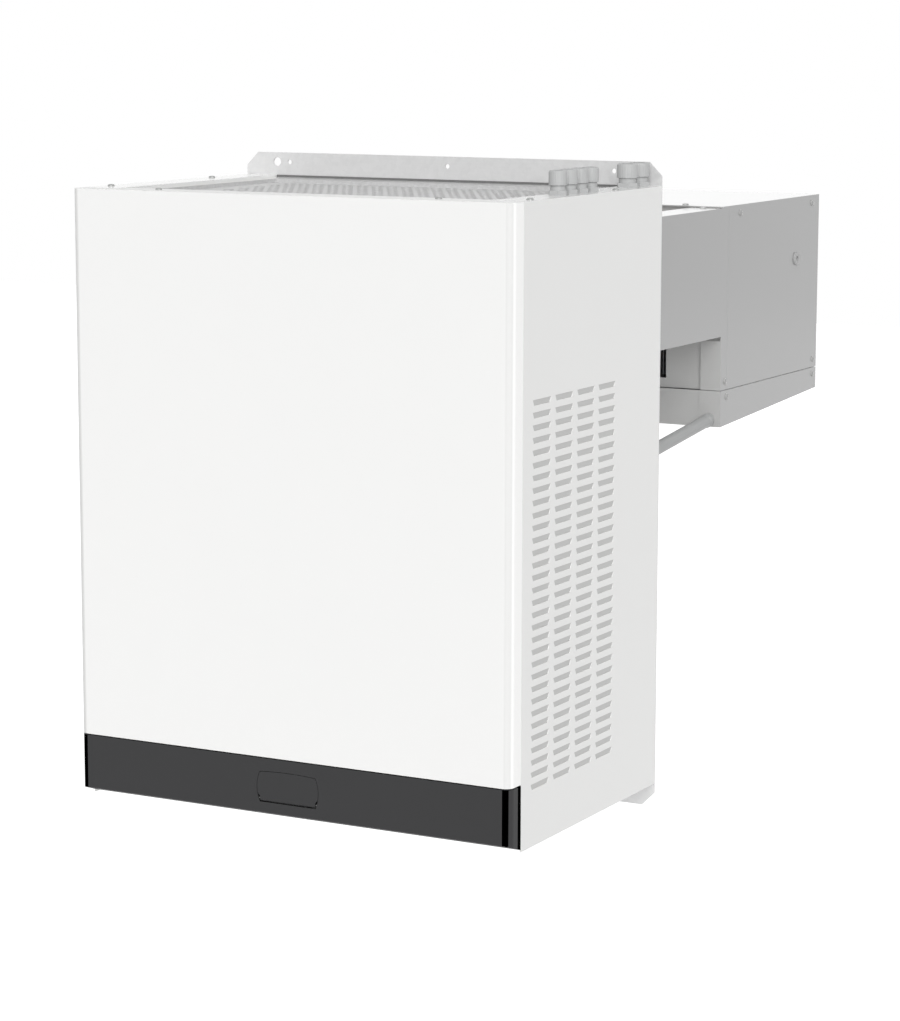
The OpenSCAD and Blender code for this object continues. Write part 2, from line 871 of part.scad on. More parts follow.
module compressor_bolts() {
    z0 = z_pan - bolt_nut_h;
    color("silver") for (p = foot_points) {
        rod_z([p[0], p[1], z0], bolt_d, z_floor + grommet_h - z0 + cut);
        translate([p[0], p[1], z_floor + grommet_h]) cylinder(d = bolt_head_d, h = bolt_head_h, $fn = 6);
        translate([p[0], p[1], z0]) cylinder(d = bolt_head_d, h = bolt_nut_h, $fn = 6);
    }
}

// Terminal cover on the compressor's right side
cover_size = [26, 62, 72];
cover_lap = 18;
cover_rise_share = 0.2;

module compressor_cover() {
    r = comp_d / 2;
    color("black") difference() {
        translate([comp_x + r - cover_lap, comp_y - cover_size[1] / 2,
                   z_shell + comp_h * cover_rise_share])
            cube([cover_lap + cover_size[0], cover_size[1], cover_size[2]]);
        rod_z([comp_x, comp_y, z_shell - cut], comp_d + 2 * seam_gap, comp_h + 2 * cut);
    }
}

// Fan deck, condenser coil and fan
deck_drop = 162;
deck_flange = 12;
z_deck = z_top - deck_drop;
x_deck = -x_in;
x_deck_right = x_box;
y_deck = y_side + sheet_t;
y_deck_rear = y_in - sheet_t;
ring_h = 34;
coil_side = 43.5;
coil_front = 18.8;
coil_l = x_deck_right - x_deck - 2 * coil_side;
coil_d = y_deck_rear - y_deck - 2 * coil_front;
coil_h = 66;
coil_lift = 20;
coil_plate_t = 2;
hub_d = 78;
hub_h = 34;
shaft_d = 8;
motor_d = 84;
motor_h = 62;
motor_gap = 4;
strap_w = 26;
strap_t = 2.5;
strap_out = 10;
fan_x = (x_deck + x_deck_right) / 2;
fan_y = (y_deck + y_deck_rear) / 2;
ring_d = fan_d + 2 * tip_gap;
z_fan = z_deck - ring_h;
z_motor = z_fan - motor_gap - motor_h;
z_coil = z_deck + coil_lift;
strap_half = ring_d / 2 + sheet_t + strap_out;

// Risers that pass the deck beside the coil
riser_side = 14.5;
riser_front = 10;
riser_pitch = 22;
riser_x = riser_side - x_in;
riser_y = fan_y - coil_d / 2 + riser_front;
return_y = riser_y + riser_pitch;
discharge_d = 10;
liquid_d = 8;
suction_d = 16;
line_r = 22;

module fan_deck() {
    color("silver") difference() {
        union() {
            span([x_deck, y_deck, z_deck - sheet_t], [x_deck_right, y_deck_rear, z_deck]);
            lip_ring([x_deck, y_deck, z_deck - deck_flange], [x_deck_right, y_deck_rear, z_deck], sheet_t);
            rod_z([fan_x, fan_y, z_fan], ring_d + 2 * sheet_t, ring_h);
        }
        rod_z([fan_x, fan_y, z_fan - cut], ring_d, ring_h + 2 * cut);
        rod_z([riser_x, riser_y, z_deck - sheet_t - cut], discharge_d + 2 * fit_gap, sheet_t + 2 * cut);
        rod_z([riser_x, return_y, z_deck - sheet_t - cut], liquid_d + 2 * fit_gap, sheet_t + 2 * cut);
    }
}

// A finned block with end plates, from lo to hi, with fins across X
module finned_block(lo, hi, plate_t, fins) {
    l = hi[0] - lo[0] - 2 * plate_t;
    pitch = l / fins;
    groove = pitch * 0.45;
    depth = 3 * plate_t;
    difference() {
        span(lo, hi);
        for (i = [0 : fins - 1])
            translate([lo[0] + plate_t + (i + 0.5) * pitch - groove / 2, 0, 0]) {
                span([0, lo[1] - cut, lo[2] - cut], [groove, lo[1] + depth, hi[2] + cut]);
                span([0, hi[1] - depth, lo[2] - cut], [groove, hi[1] + cut, hi[2] + cut]);
            }
    }
}

condenser_fins = 60;

module condenser_coil() {
    lo = [fan_x - coil_l / 2, fan_y - coil_d / 2, z_coil];
    hi = [fan_x + coil_l / 2, fan_y + coil_d / 2, z_coil + coil_h];
    color("silver") {
        finned_block(lo, hi, coil_plate_t, condenser_fins);
        for (x = [lo[0], hi[0] - coil_plate_t])
            span([x, lo[1], z_deck], [x + coil_plate_t, hi[1], z_coil + cut]);
    }
}

// Return bends: half rings that stand on a coil's end plates
tube_d = 9.5;
row_pitch = 25;

module half_ring() {
    rotate_extrude(angle = 180) translate([row_pitch / 2, 0]) circle(d = tube_d);
}

module condenser_bends() {
    n = floor((coil_d - 3 * row_pitch) / (2 * row_pitch));
    color("peru") for (side = [-1, 1], row = [0 : 1], i = [0 : n - 1])
        translate([fan_x + side * coil_l / 2,
                   fan_y - coil_d / 2 + (2 * i + 2.2) * row_pitch,
                   z_coil + coil_h * (row + 0.5) / 2])
            rotate([0, 0, -side * 90]) half_ring();
}

module condenser_motor() {
    color("black") difference() {
        union() {
            rod_z([fan_x, fan_y, z_motor], motor_d, motor_h);
            rod_z([fan_x, fan_y, z_motor], motor_d * 0.4, motor_h + motor_gap / 2);
        }
        rod_z([fan_x, fan_y, z_motor + motor_h / 2], shaft_d + 2 * run_gap, motor_h);
    }
}

module condenser_bracket() {
    z0 = z_motor - strap_t;
    z1 = z_deck - sheet_t;
    color("silver") for (a = [45, 135]) translate([fan_x, fan_y, 0]) rotate([0, 0, a]) {
        span([-strap_half, -strap_w / 2, z0], [strap_half, strap_w / 2, z_motor]);
        for (s = [-1, 1]) translate([s * (strap_half - strap_t / 2), 0, 0])
            span([-strap_t / 2, -strap_w / 2, z0], [strap_t / 2, strap_w / 2, z1]);
    }
}

// A fan about Z with its hub on the ground and a shaft below it
blade_root_pitch = 42;
blade_tip_pitch = 24;
blade_t = 2;
blade_root_share = 0.42;
blade_tip_share = 0.62;

module fan_body(d, hub, h, shaft, shaft_l) {
    r = d / 2;
    difference() {
        cylinder(d = hub, h = h);
        translate([0, 0, h * 0.55]) cylinder(d = hub - 4 * blade_t, h = h);
    }
    translate([0, 0, -shaft_l]) cylinder(d = shaft, h = shaft_l + cut);
    for (i = [0 : blade_count - 1]) rotate([0, 0, i * 360 / blade_count])
        intersection() {
            cylinder(r = r, h = h);
            hull() {
                translate([hub / 2 - blade_t, 0, h / 2]) rotate([blade_root_pitch, 0, 0])
                    cube([blade_t, hub * blade_root_share, blade_t], center = true);
                translate([r - blade_t / 2, 0, h / 2]) rotate([blade_tip_pitch, 0, 0])
                    cube([blade_t, r * blade_tip_share, blade_t], center = true);
            }
        }
}

module condenser_fan() {
    color("black") translate([fan_x, fan_y, z_fan])
        fan_body(fan_d, hub_d, hub_h, shaft_d, motor_gap + motor_h / 2 - fit_gap);
}

// Lines
neck_line_rise = 16;
neck_line_z = z_neck_low + neck_line_rise;
liquid_x = -150;
line_in = 34;
drier_d = 34;
drier_l = 110;
drier_x = 60;
line_lift = 40;
drier_lift = 90;
line_cross = 60;
comp_top = z_shell + comp_h;
z_stub = z_shell + comp_h * stub_share;
y_riser = y_in - line_in;
x_coil = fan_x - coil_l / 2;
z_drier = comp_top + drier_lift - line_lift - drier_l;

suction_points = [
    [suction_x, y_evap + line_in, neck_line_z],
    [suction_x, y_riser, neck_line_z],
    [suction_x, y_riser, z_stub],
    [suction_x, comp_y, z_stub],
    [suction_x + stub_out, comp_y, z_stub]];

discharge_points = [
    [comp_x, comp_y, comp_top],
    [comp_x, comp_y, comp_top + line_lift],
    [riser_x, comp_y, comp_top + line_lift],
    [riser_x, riser_y, comp_top + line_lift],
    [riser_x, riser_y, z_coil + coil_h * 0.75],
    [x_coil, riser_y, z_coil + coil_h * 0.75]];

liquid_points = [
    [x_coil, return_y, z_coil + coil_h * 0.25],
    [riser_x, return_y, z_coil + coil_h * 0.25],
    [riser_x, return_y, comp_top + drier_lift],
    [drier_x, return_y, comp_top + drier_lift],
    [drier_x, return_y, z_drier + drier_l]];

capillary_points = [
    [drier_x, return_y, z_drier],
    [drier_x, return_y, z_drier - line_lift],
    [drier_x, y_riser, z_drier - line_lift],
    [drier_x, y_riser, neck_line_z - line_cross],
    [liquid_x, y_riser, neck_line_z - line_cross],
    [liquid_x, y_riser, neck_line_z],
    [liquid_x, y_evap + line_in, neck_line_z]];

module suction_line() {
    color("black") tube_run(suction_points, suction_d, line_r);
}

module discharge_line() {
    color("peru") tube_run(discharge_points, discharge_d, line_r / 1.5);
}

module liquid_line() {
    color("peru") {
        tube_run(liquid_points, liquid_d, line_r / 2);
        tube_run(capillary_points, liquid_d, line_r / 2);
    }
}

module filter_drier() {
    color("peru") translate(capillary_points[0]) rotate_extrude() can_half(drier_d / 2, drier_l, drier_d / 3);
}

// Drain: from the tray's low corner, down through the wall plate, into the pan
drain_side = 15;
drain_rise = 9.5;
drain_slope = 0.113;
drain_turn = 26;
drain_wall = 2;
drain_ball_d = drain_d + drain_wall;
drain_ball_y = y_evap - seam_gap - drain_ball_d / 2;
cond_pan_w = 150;
cond_pan_d = 220;
cond_pan_h = 44;
x_drain = min(x_evap, x_side) - drain_side;
z_drain = z_tray - seam_gap - tray_front_h + drain_rise;
x_cond = x_in - sheet_t - cond_pan_w;

z_elbow = z_drain - (y_evap + drain_turn) * drain_slope;

// The sloping run of the drain, from the tray's far side to the elbow
module drain_run(d) {
    stick([x_drain, y_evap + drain_d, z_drain + drain_d * drain_slope],
          [x_drain, -drain_turn, z_elbow], d);
}

module drain_pipe() {
    z_end = z_floor + cond_pan_h / 2;
    bore = drain_d - 2 * drain_wall;
    color("lightgray") difference() {
        union() {
            drain_run(drain_d);
            translate([x_drain, drain_ball_y, z_drain - (y_evap - drain_ball_y) * drain_slope])
                sphere(d = drain_ball_d);
            translate([x_drain, -drain_turn, z_elbow]) sphere(d = drain_d + 2 * drain_wall);
            rod_z([x_drain, -drain_turn, z_end], drain_d, z_elbow - z_end);
        }
        drain_run(bore);
        translate([x_drain, -drain_turn, z_elbow]) sphere(d = bore + drain_wall);
        rod_z([x_drain, -drain_turn, z_end - cut], bore, z_elbow - z_end + cut);
        span([x_drain - drain_d, y_evap, z_drain - drain_d],
             [x_drain + drain_d, y_evap + 3 * drain_d, z_drain + 2 * drain_d]);
    }
}

module condensate_pan() {
    lo = [x_cond, y_in - sheet_t - 2 * seam_gap - cond_pan_d, z_floor];
    hi = [x_cond + cond_pan_w, y_in - sheet_t - 2 * seam_gap, z_floor + cond_pan_h];
    color("darkgray") difference() {
        span(lo, hi);
        span(lo + [2 * sheet_t, 2 * sheet_t, 2 * sheet_t], hi + [-2 * sheet_t, -2 * sheet_t, cut]);
    }
}

// Neck
neck_tab = 15;

module neck_shell() {
    x1 = x_evap;
    y0 = -plate_t;
    color("gainsboro") difference() {
        union() {
            both_sides() {
                span([x1 - sheet_t, y0, z_neck_low], [x1, y_evap, z_neck]);
                span([x1 - neck_flange, y0, z_neck - sheet_t], [x1, y_evap, z_neck]);
                span([x1 - neck_flange, y0 - sheet_t, z_neck - sheet_t],
                     [x1 - neck_tab, y0, z_neck + neck_tab]);
            }
            span([-x1, y0, z_neck_low], [x1, y_evap, z_neck_low + sheet_t]);
            span([2 * neck_tab - x1, y0 - sheet_t, z_neck_low - neck_tab],
                 [x1 - 2 * neck_tab, y0, z_neck_low + sheet_t]);
        }
        for (s = [-1, 1])
            rod_z([s * (x1 - neck_flange / 2), y_evap - neck_screw, z_neck - sheet_t - cut],
                  screw_hole_d, sheet_t + 2 * cut);
    }
}

frame_recess = 5;

module neck_foam() {
    x1 = x_evap - sheet_t;
    color("khaki") difference() {
        union() {
            span([-x1, -plate_t, z_neck_low + sheet_t], [x1, y_evap, z_neck - foam_recess]);
            span([seam_gap - x1, y_evap - cut, z_neck_low + sheet_t],
                 [x1 - seam_gap, y_evap + frame_recess, z_neck - foam_recess]);
        }
        rod_y([suction_x, -plate_t - cut, neck_line_z], suction_d + 2 * fit_gap, neck_l + line_in + 2 * cut);
        rod_y([liquid_x, -plate_t - cut, neck_line_z], liquid_d + 2 * fit_gap, neck_l + line_in + 2 * cut);
    }
}

// Evaporator casing
side_return = 19;
frame_step = 6;
y_frame = y_evap + frame_recess;
y_panel = y_evap + side_return + seam_gap;
z_cover = z_evap - sheet_t;
z_side_low = z_tray + seam_gap;
y_cover_screw = y_frame + sheet_t + clip_w / 2 + seam_gap;

// Places of the side screws as Y and Z: in the frame's return, in the panel alone, and
// in the panel with the fan plate's flange behind it
frame_screw = [y_evap + side_return - clip_w / 2 - seam_gap, z_tray + side_screw_low];
panel_screw = [y_evap + side_screw_front, z_cover - side_screw_top];
rear_screws = [
    [y_rear - side_screw_rear, z_cover - side_screw_top],
    [y_rear - side_screw_rear / 2, z_tray + side_screw_low]];

module evap_front_frame() {
    x1 = x_evap;
    color("gainsboro") difference() {
        union() {
            span([sheet_t - x1, y_frame, z_side_low], [x1 - sheet_t, y_frame + sheet_t, z_cover]);
            both_sides() {
                span([x1 - sheet_t, y_evap, z_side_low], [x1, y_evap + side_return, z_cover]);
                span([x1 - upright_w, y_evap, z_side_low], [x1, y_evap + sheet_t, z_neck_low - frame_step]);
                span([x1 - upright_w, y_evap, z_side_low],
                     [x1 - upright_w + sheet_t, y_frame + sheet_t, z_neck_low - frame_step]);
            }
        }
        span([-intake_half, y_frame - cut, z_side_low + edge_flange],
             [intake_half, y_frame + sheet_t + cut, z_neck_low - frame_step]);
        rod_y([suction_x, y_frame - cut, neck_line_z], suction_d + 2 * fit_gap, sheet_t + 2 * cut);
        rod_y([liquid_x, y_frame - cut, neck_line_z], liquid_d + 2 * fit_gap, sheet_t + 2 * cut);
        for (s = [-1, 1])
            rod_x([s * (x1 - sheet_t / 2) - sheet_t, frame_screw[0], frame_screw[1]],
                  screw_hole_d, 2 * sheet_t);
    }
}

module evap_side() {
    difference() {
        union() {
            span([x_evap - sheet_t, y_panel, z_side_low], [x_evap, y_rear, z_cover]);
            span([x_evap - edge_flange, y_panel, z_side_low],
                 [x_evap, y_panel + sheet_t, z_cover]);
        }
        for (p = concat([panel_screw], rear_screws))
            rod_x([x_evap - sheet_t - cut, p[0], p[1]], screw_hole_d, sheet_t + 2 * cut);
    }
}

module evap_left_panel() {
    color("gainsboro") mirror([1, 0, 0]) evap_side();
}

grommet_rise = 152;
grommet_in = 247;
probe_grommet_d = 17.5;
probe_bore_d = 7.5;
probe_groove_d = 13;
probe_lip = 2;

module evap_right_panel() {
    color("gainsboro") difference() {
        evap_side();
        rod_x([x_evap - sheet_t - cut, y_evap + grommet_in, z_tray + grommet_rise],
              probe_groove_d, sheet_t + 2 * cut);
    }
}

module probe_grommet() {
    y = y_evap + grommet_in;
    z = z_tray + grommet_rise;
    color("dimgray") difference() {
        union() {
            rod_x([x_evap, y, z], probe_grommet_d, probe_lip);
            rod_x([x_evap - sheet_t - cut, y, z], probe_groove_d, sheet_t + 2 * cut);
            rod_x([x_evap - sheet_t - probe_lip, y, z], probe_grommet_d, probe_lip);
        }
        rod_x([x_evap - sheet_t - 2 * probe_lip, y, z], probe_bore_d, sheet_t + 4 * probe_lip);
    }
}

module evap_top_cover() {
    color("gainsboro") difference() {
        span([-x_evap, y_evap, z_cover], [x_evap, y_rear, z_evap]);
        for (s = [-1, 1])
            rod_z([s * cover_screw_x, y_cover_screw, z_cover - cut], screw_hole_d,
                  sheet_t + 2 * cut);
    }
}

cover_screw_in = 57;
cover_screw_x = x_evap - cover_screw_in;

// Rear plate, and the two fan rings whose rims are welded to its inside
z_evap_fan = z_tray + evap_h / 2;
evap_ring_d = evap_fan_d + 2 * tip_gap;
evap_ring_l = 26;
evap_ring_rim = 5;
plate_flange = 14;

module evap_fan_plate() {
    y0 = y_rear - sheet_t;
    x1 = x_evap - sheet_t;
    color("gainsboro") difference() {
        union() {
            span([-x1, y0, z_side_low], [x1, y_rear, z_cover]);
            both_sides() span([x1 - sheet_t, y0 - 2 * plate_flange, z_side_low], [x1, y0, z_cover]);
            span([-x1, y0 - plate_flange, z_cover - sheet_t], [x1, y0, z_cover]);
        }
        for (s = [-1, 1]) rod_y([s * evap_fan_x, y0 - cut, z_evap_fan], evap_ring_d, sheet_t + 2 * cut);
        for (s = [-1, 1], p = rear_screws)
            rod_x([s * x1 - 2 * sheet_t, p[0], p[1]], screw_hole_d, 4 * sheet_t);
    }
}

module evap_fan_rings() {
    y0 = y_rear - sheet_t;
    l = evap_ring_l - sheet_t;
    color("gainsboro") for (s = [-1, 1]) difference() {
        union() {
            rod_y([s * evap_fan_x, y0 - l, z_evap_fan], evap_ring_d + 2 * sheet_t, l);
            rod_y([s * evap_fan_x, y0 - sheet_t, z_evap_fan], evap_ring_d + 2 * evap_ring_rim, sheet_t);
        }
        rod_y([s * evap_fan_x, y0 - l - cut, z_evap_fan], evap_ring_d, l + 2 * cut);
    }
}

evap_coil_front = 26;
evap_coil_d = 130;
evap_coil_end = 30;
evap_coil_gap = 12;
evap_fins = 70;
y_coil = y_frame + evap_coil_front;

module evap_coil() {
    lo = [evap_coil_end - x_evap, y_coil, z_side_low];
    hi = [x_evap - evap_coil_end, y_coil + evap_coil_d, z_cover - evap_coil_gap];
    color("silver") {
        difference() {
            finned_block([lo[0], lo[1], lo[2] + evap_coil_gap], hi, coil_plate_t, evap_fins);
            rod_y([suction_x, y_frame, neck_line_z], suction_d + 2 * fit_gap, y_evap + line_in - y_frame + fit_gap);
            rod_y([liquid_x, y_frame, neck_line_z], liquid_d + 2 * fit_gap, y_evap + line_in - y_frame + fit_gap);
        }
        for (x = [lo[0], hi[0] - coil_plate_t])
            span([x, lo[1], lo[2] + seam_gap], [x + coil_plate_t, hi[1], hi[2] + evap_coil_gap]);
    }
}

module evap_bends() {
    rows = floor((evap_h - 2 * evap_coil_gap - row_pitch) / (2 * row_pitch));
    color("peru") for (side = [-1, 1], i = [0 : rows - 1], j = [0 : 2])
        translate([side * (x_evap - evap_coil_end), y_coil + evap_coil_d * (j + 0.5) / 3,
                   z_side_low + evap_coil_gap + (2 * i + 1.5) * row_pitch])
            rotate([0, 0, side < 0 ? 180 : 0]) rotate([90, 0, 0]) rotate([0, 0, -90]) half_ring();
}

// Evaporator fans blow into the room through the rear plate
evap_motor_d = 76;
evap_motor_l = 54;
evap_hub_d = 58;
evap_hub_l = 24;
evap_shaft_d = 6;
y_evap_fan = y_rear - evap_ring_l;
y_evap_motor = y_evap_fan - motor_gap;

module evap_motors() {
    y0 = y_evap_motor - evap_motor_l;
    color("black") for (s = [-1, 1]) difference() {
        union() {
            rod_y([s * evap_fan_x, y0, z_evap_fan], evap_motor_d, evap_motor_l);
            rod_y([s * evap_fan_x, y0, z_evap_fan], evap_motor_d * 0.4, evap_motor_l + motor_gap / 2);
        }
        rod_y([s * evap_fan_x, y_evap_motor - evap_motor_l / 2, z_evap_fan],
              evap_shaft_d + 2 * run_gap, evap_motor_l);
    }
}

module evap_brackets() {
    y0 = y_evap_motor - evap_motor_l;
    half = evap_ring_d / 2 + sheet_t + strap_t;
    z1 = min(half, z_cover - sheet_t - z_evap_fan - seam_gap);
    color("silver") for (s = [-1, 1]) translate([s * evap_fan_x, 0, z_evap_fan]) {
        span([-strap_w / 2, y0 - strap_t, -z1], [strap_w / 2, y0, z1]);
        for (t = [-1, 1]) translate([0, 0, t * (z1 - strap_t / 2)])
            span([-strap_w / 2, y0 - strap_t, -strap_t / 2],
                 [strap_w / 2, y_rear - 2 * sheet_t, strap_t / 2]);
    }
}

module evap_fan(s) {
    color("black") translate([s * evap_fan_x, y_evap_fan, z_evap_fan]) rotate([-90, 0, 0])
        fan_body(evap_fan_d, evap_hub_d, evap_hub_l, evap_shaft_d, motor_gap + evap_motor_l / 2 - fit_gap);
}

guard_rings = 6;
guard_wire = 2;
guard_out = 6;

module fan_guards() {
    r1 = evap_ring_d / 2 + 2 * guard_wire;
    step = r1 / guard_rings;
    color("black") for (s = [-1, 1]) translate([s * evap_fan_x, y_rear, z_evap_fan]) rotate([-90, 0, 0]) {
        for (i = [1 : guard_rings]) translate([0, 0, guard_out - guard_wire]) difference() {
            cylinder(r = i * step, h = guard_wire);
            translate([0, 0, -cut]) cylinder(r = i * step - guard_wire, h = guard_wire + 2 * cut);
        }
        for (a = [45 : 90 : 315]) rotate([0, 0, a]) {
            span([step / 2, -guard_wire / 2, guard_out - 2 * guard_wire], [r1, guard_wire / 2, guard_out - guard_wire / 2]);
            span([r1 - guard_wire, -guard_wire / 2, 0], [r1 + 2 * guard_wire, guard_wire / 2, guard_out]);
        }
    }
}

// Drip tray, deepest on the wall side, with the drain hole in its front corner
module tray_profile(inset, up) {
    z1 = z_tray - seam_gap;
    polygon([
        [y_evap + inset, z1 - tray_front_h + inset], [y_rear - inset, z1 - tray_rear_h + inset],
        [y_rear - inset, z1 + up], [y_evap + inset, z1 + up]]);
}

module drip_tray() {
    color("gainsboro") difference() {
        across(-x_evap, x_evap) tray_profile(0, 0);
        across(sheet_t - x_evap, x_evap - sheet_t) tray_profile(sheet_t, cut);
        rod_y([x_drain, y_evap - cut, z_drain], drain_d - 2 * drain_wall, sheet_t + 2 * cut);
        for (s = [-1, 1], p = tray_screws)
            rod_x([s * (x_evap - sheet_t / 2) - sheet_t, p[0], p[1]], screw_hole_d, 2 * sheet_t);
    }
}

tray_screws = [
    [y_evap + tray_screw_front, z_tray - tray_screw_drop],
    [y_rear - side_screw_rear / 2, z_tray - tray_screw_drop]];

heater_d = 8;
heater_side = 60;
heater_front = 36;
heater_rear = 160;

// A heating rod laid on the tray's sloping floor
module tray_heater() {
    x1 = x_evap - heater_side;
    z = heater_d / 2 + socket_t + seam_gap;
    tilt = atan((tray_front_h - tray_rear_h) / (evap_d - 2 * sheet_t));
    color("silver") translate([0, y_evap + sheet_t, z_tray - seam_gap - tray_front_h + sheet_t])
        rotate([tilt, 0, 0])
            tube_run([
                [x1, heater_front, z], [-x1, heater_front, z],
                [-x1, heater_rear, z], [x1, heater_rear, z]], heater_d, line_r);
}

// Screws of the casing's border, and those of the neck and the evaporator
module casing_screws() {
    color("silver") {
        for (s = [-1, 1]) {
            screw_down([s * border_screw_x, y_front + border_screw_front, z_top]);
            for (y = border_screw_y) screw_down([s * (x_side - border_screw_side), y, z_top]);
        }
    }
}

module evap_screws() {
    color("silver") both_sides() {
        screw_down([x_evap - neck_flange / 2, y_evap - neck_screw, z_neck]);
        screw_down([cover_screw_x, y_cover_screw, z_evap]);
        for (p = concat([frame_screw, panel_screw], tray_screws))
            screw_in_x([x_evap, p[0], p[1]]);
        for (p = rear_screws) screw_in_x([x_evap, p[0], p[1]], sheets = 2);
    }
}

wall_plate();
base_pan();
left_side_panel();
right_side_panel();
front_panel();
top_grille();
kick_strip();
controller_flap();
flap_pin();
controller_case();
controller_bracket();
display_window();
key(0);  // key_up
key(1);  // key_down
key(2);  // key_set
key(3);  // key_defrost
small_glands();
large_glands();
electrical_box();
electrical_lid();
control_board();
contactor();
terminal_block();
compressor_shell();
compressor_feet();
compressor_grommets();
compressor_bolts();
compressor_cover();
fan_deck();
condenser_coil();
condenser_bends();
condenser_motor();
condenser_bracket();
condenser_fan();
discharge_line();
liquid_line();
filter_drier();
suction_line();
condensate_pan();
drain_pipe();
neck_shell();
neck_foam();
evap_front_frame();
evap_left_panel();
evap_right_panel();
evap_top_cover();
evap_fan_plate();
evap_fan_rings();
evap_coil();
evap_bends();
evap_motors();
evap_brackets();
evap_fan(-1);  // evap_fan_left
evap_fan(1);  // evap_fan_right
fan_guards();
drip_tray();
tray_heater();
probe_grommet();
casing_screws();
evap_screws();
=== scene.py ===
# %% [markdown]
# # A wall-hung monoblock refrigeration unit
#
# The unit hangs on a cold room's wall. The warm half is a white sheet metal casing, a neck of
# insulated sheet goes through the wall, and a grey evaporator with two fans blows cold air
# into the room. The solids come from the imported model. This lesson gives each sheet, moulding
# and tube the finish of the real one, and adds the small forms that pressing and moulding
# leave: louvre blades, flutes on caps, screw recesses, fins and wire guards.

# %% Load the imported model
import math

import bpy
from mathutils import Matrix, Vector


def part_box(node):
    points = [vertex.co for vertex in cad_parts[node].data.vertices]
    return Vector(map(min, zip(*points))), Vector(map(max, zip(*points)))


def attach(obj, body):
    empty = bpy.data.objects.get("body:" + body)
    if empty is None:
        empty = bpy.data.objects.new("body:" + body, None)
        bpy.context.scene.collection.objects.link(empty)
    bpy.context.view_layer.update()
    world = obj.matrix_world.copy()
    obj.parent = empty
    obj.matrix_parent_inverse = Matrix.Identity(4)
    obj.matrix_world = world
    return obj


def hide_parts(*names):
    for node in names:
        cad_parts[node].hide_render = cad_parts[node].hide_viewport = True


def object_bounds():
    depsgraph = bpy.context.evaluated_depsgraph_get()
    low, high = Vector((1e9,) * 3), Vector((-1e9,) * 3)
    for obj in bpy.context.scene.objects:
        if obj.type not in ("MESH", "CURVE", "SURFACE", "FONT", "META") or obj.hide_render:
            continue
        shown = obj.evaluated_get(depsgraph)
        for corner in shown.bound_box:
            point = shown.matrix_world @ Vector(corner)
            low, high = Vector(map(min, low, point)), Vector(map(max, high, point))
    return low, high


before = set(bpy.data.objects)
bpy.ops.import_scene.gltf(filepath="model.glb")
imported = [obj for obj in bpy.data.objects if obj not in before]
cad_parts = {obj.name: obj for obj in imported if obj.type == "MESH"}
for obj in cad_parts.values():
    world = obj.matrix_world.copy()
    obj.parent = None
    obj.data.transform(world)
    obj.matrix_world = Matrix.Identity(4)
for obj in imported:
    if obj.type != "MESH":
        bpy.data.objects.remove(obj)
cad_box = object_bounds()
MM = 0.001


def box_mm(node):
    """Lowest and highest corner of a solid in millimetres, to the nearest micrometre."""
    return [[round(v / MM, 3) for v in corner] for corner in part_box(node)]


# %% [markdown]
# ## The camera
#
# Large white goods are best seen through a long lens, which keeps their edges nearly parallel.
# The place of this camera follows from the casing's edges, its height above the origin and its
# distance, and the lens follows from how large the casing is to stand in the frame. A matrix
# sets the small roll too, which Euler angles would make hard to read.

# %% Camera
CAMERA_MM = Vector((1826.9, -3382.5, 568.6))
AZIMUTH = math.radians(28.325)
ELEVATION = math.radians(9.124)
ROLL = math.radians(0.103)
LENS_MM = 123.23
SENSOR_MM = 36.0
CLIP_END = 100


def camera_axes():
    """Right, up and back of the camera as unit vectors."""
    back = Vector((math.sin(AZIMUTH) * math.cos(ELEVATION),
                   -math.cos(AZIMUTH) * math.cos(ELEVATION), math.sin(ELEVATION)))
    right = Vector((0, 0, 1)).cross(back).normalized()
    up = back.cross(right)
    turned_right = right * math.cos(ROLL) + up * math.sin(ROLL)
    turned_up = up * math.cos(ROLL) - right * math.sin(ROLL)
    return turned_right, turned_up, back


camera_data = bpy.data.cameras.new("camera")
camera_data.sensor_fit = "HORIZONTAL"
camera_data.sensor_width = SENSOR_MM
camera_data.lens = LENS_MM
camera_data.clip_end = CLIP_END
camera = bpy.data.objects.new("camera", camera_data)
bpy.context.scene.collection.objects.link(camera)
camera_turn = Matrix(camera_axes()).transposed()
camera.matrix_world = Matrix.Translation(CAMERA_MM * MM) @ camera_turn.to_4x4()
bpy.context.scene.camera = camera
bpy.context.scene.view_settings.view_transform = "Standard"
print("camera stands", round(CAMERA_MM.length * MM, 2), "m from the origin")

# %% [markdown]
# ## One helper for nodes
#
# A material is a small tree. One function adds a node, sets its choices and its values, and
# links its inputs, so that each material below reads as a list of what it is made of. Colours
# are written as the hex values that a paint card would give, and turned to linear light here.
# Noise textures take a scale in waves per metre, so a size in millimetres is turned into one.

# %% Node helper and colours
VIEWPORT_GREY = (0.5, 0.5, 0.5, 1)


def add(tree, kind, settings=None, values=None, links=None):
    """Adds a node to the tree; values and links are given by the input's name or number."""
    made = tree.nodes.new(kind)
    for name, value in (settings or {}).items():
        setattr(made, name, value)
    for name, value in (values or {}).items():
        made.inputs[name].default_value = value
    for name, source in (links or {}).items():
        tree.links.new(source, made.inputs[name])
    return made


def colour(text):
    """Linear RGBA of an sRGB hex value, by the standard's own curve."""
    channels = [int(text[i:i + 2], 16) / 255 for i in (0, 2, 4)]
    linear = [c / 12.92 if c <= 0.04045 else ((c + 0.055) / 1.055) ** 2.4 for c in channels]
    return (*linear, 1.0)


def new_material(name):
    """An empty node material with its Principled shader and its output."""
    material = bpy.data.materials.new(name)
    material.use_nodes = True
    tree = material.node_tree
    tree.nodes.clear()
    shader = add(tree, "ShaderNodeBsdfPrincipled")
    add(tree, "ShaderNodeOutputMaterial", links={"Surface": shader.outputs["BSDF"]})
    material.diffuse_color = VIEWPORT_GREY
    return material, tree, shader


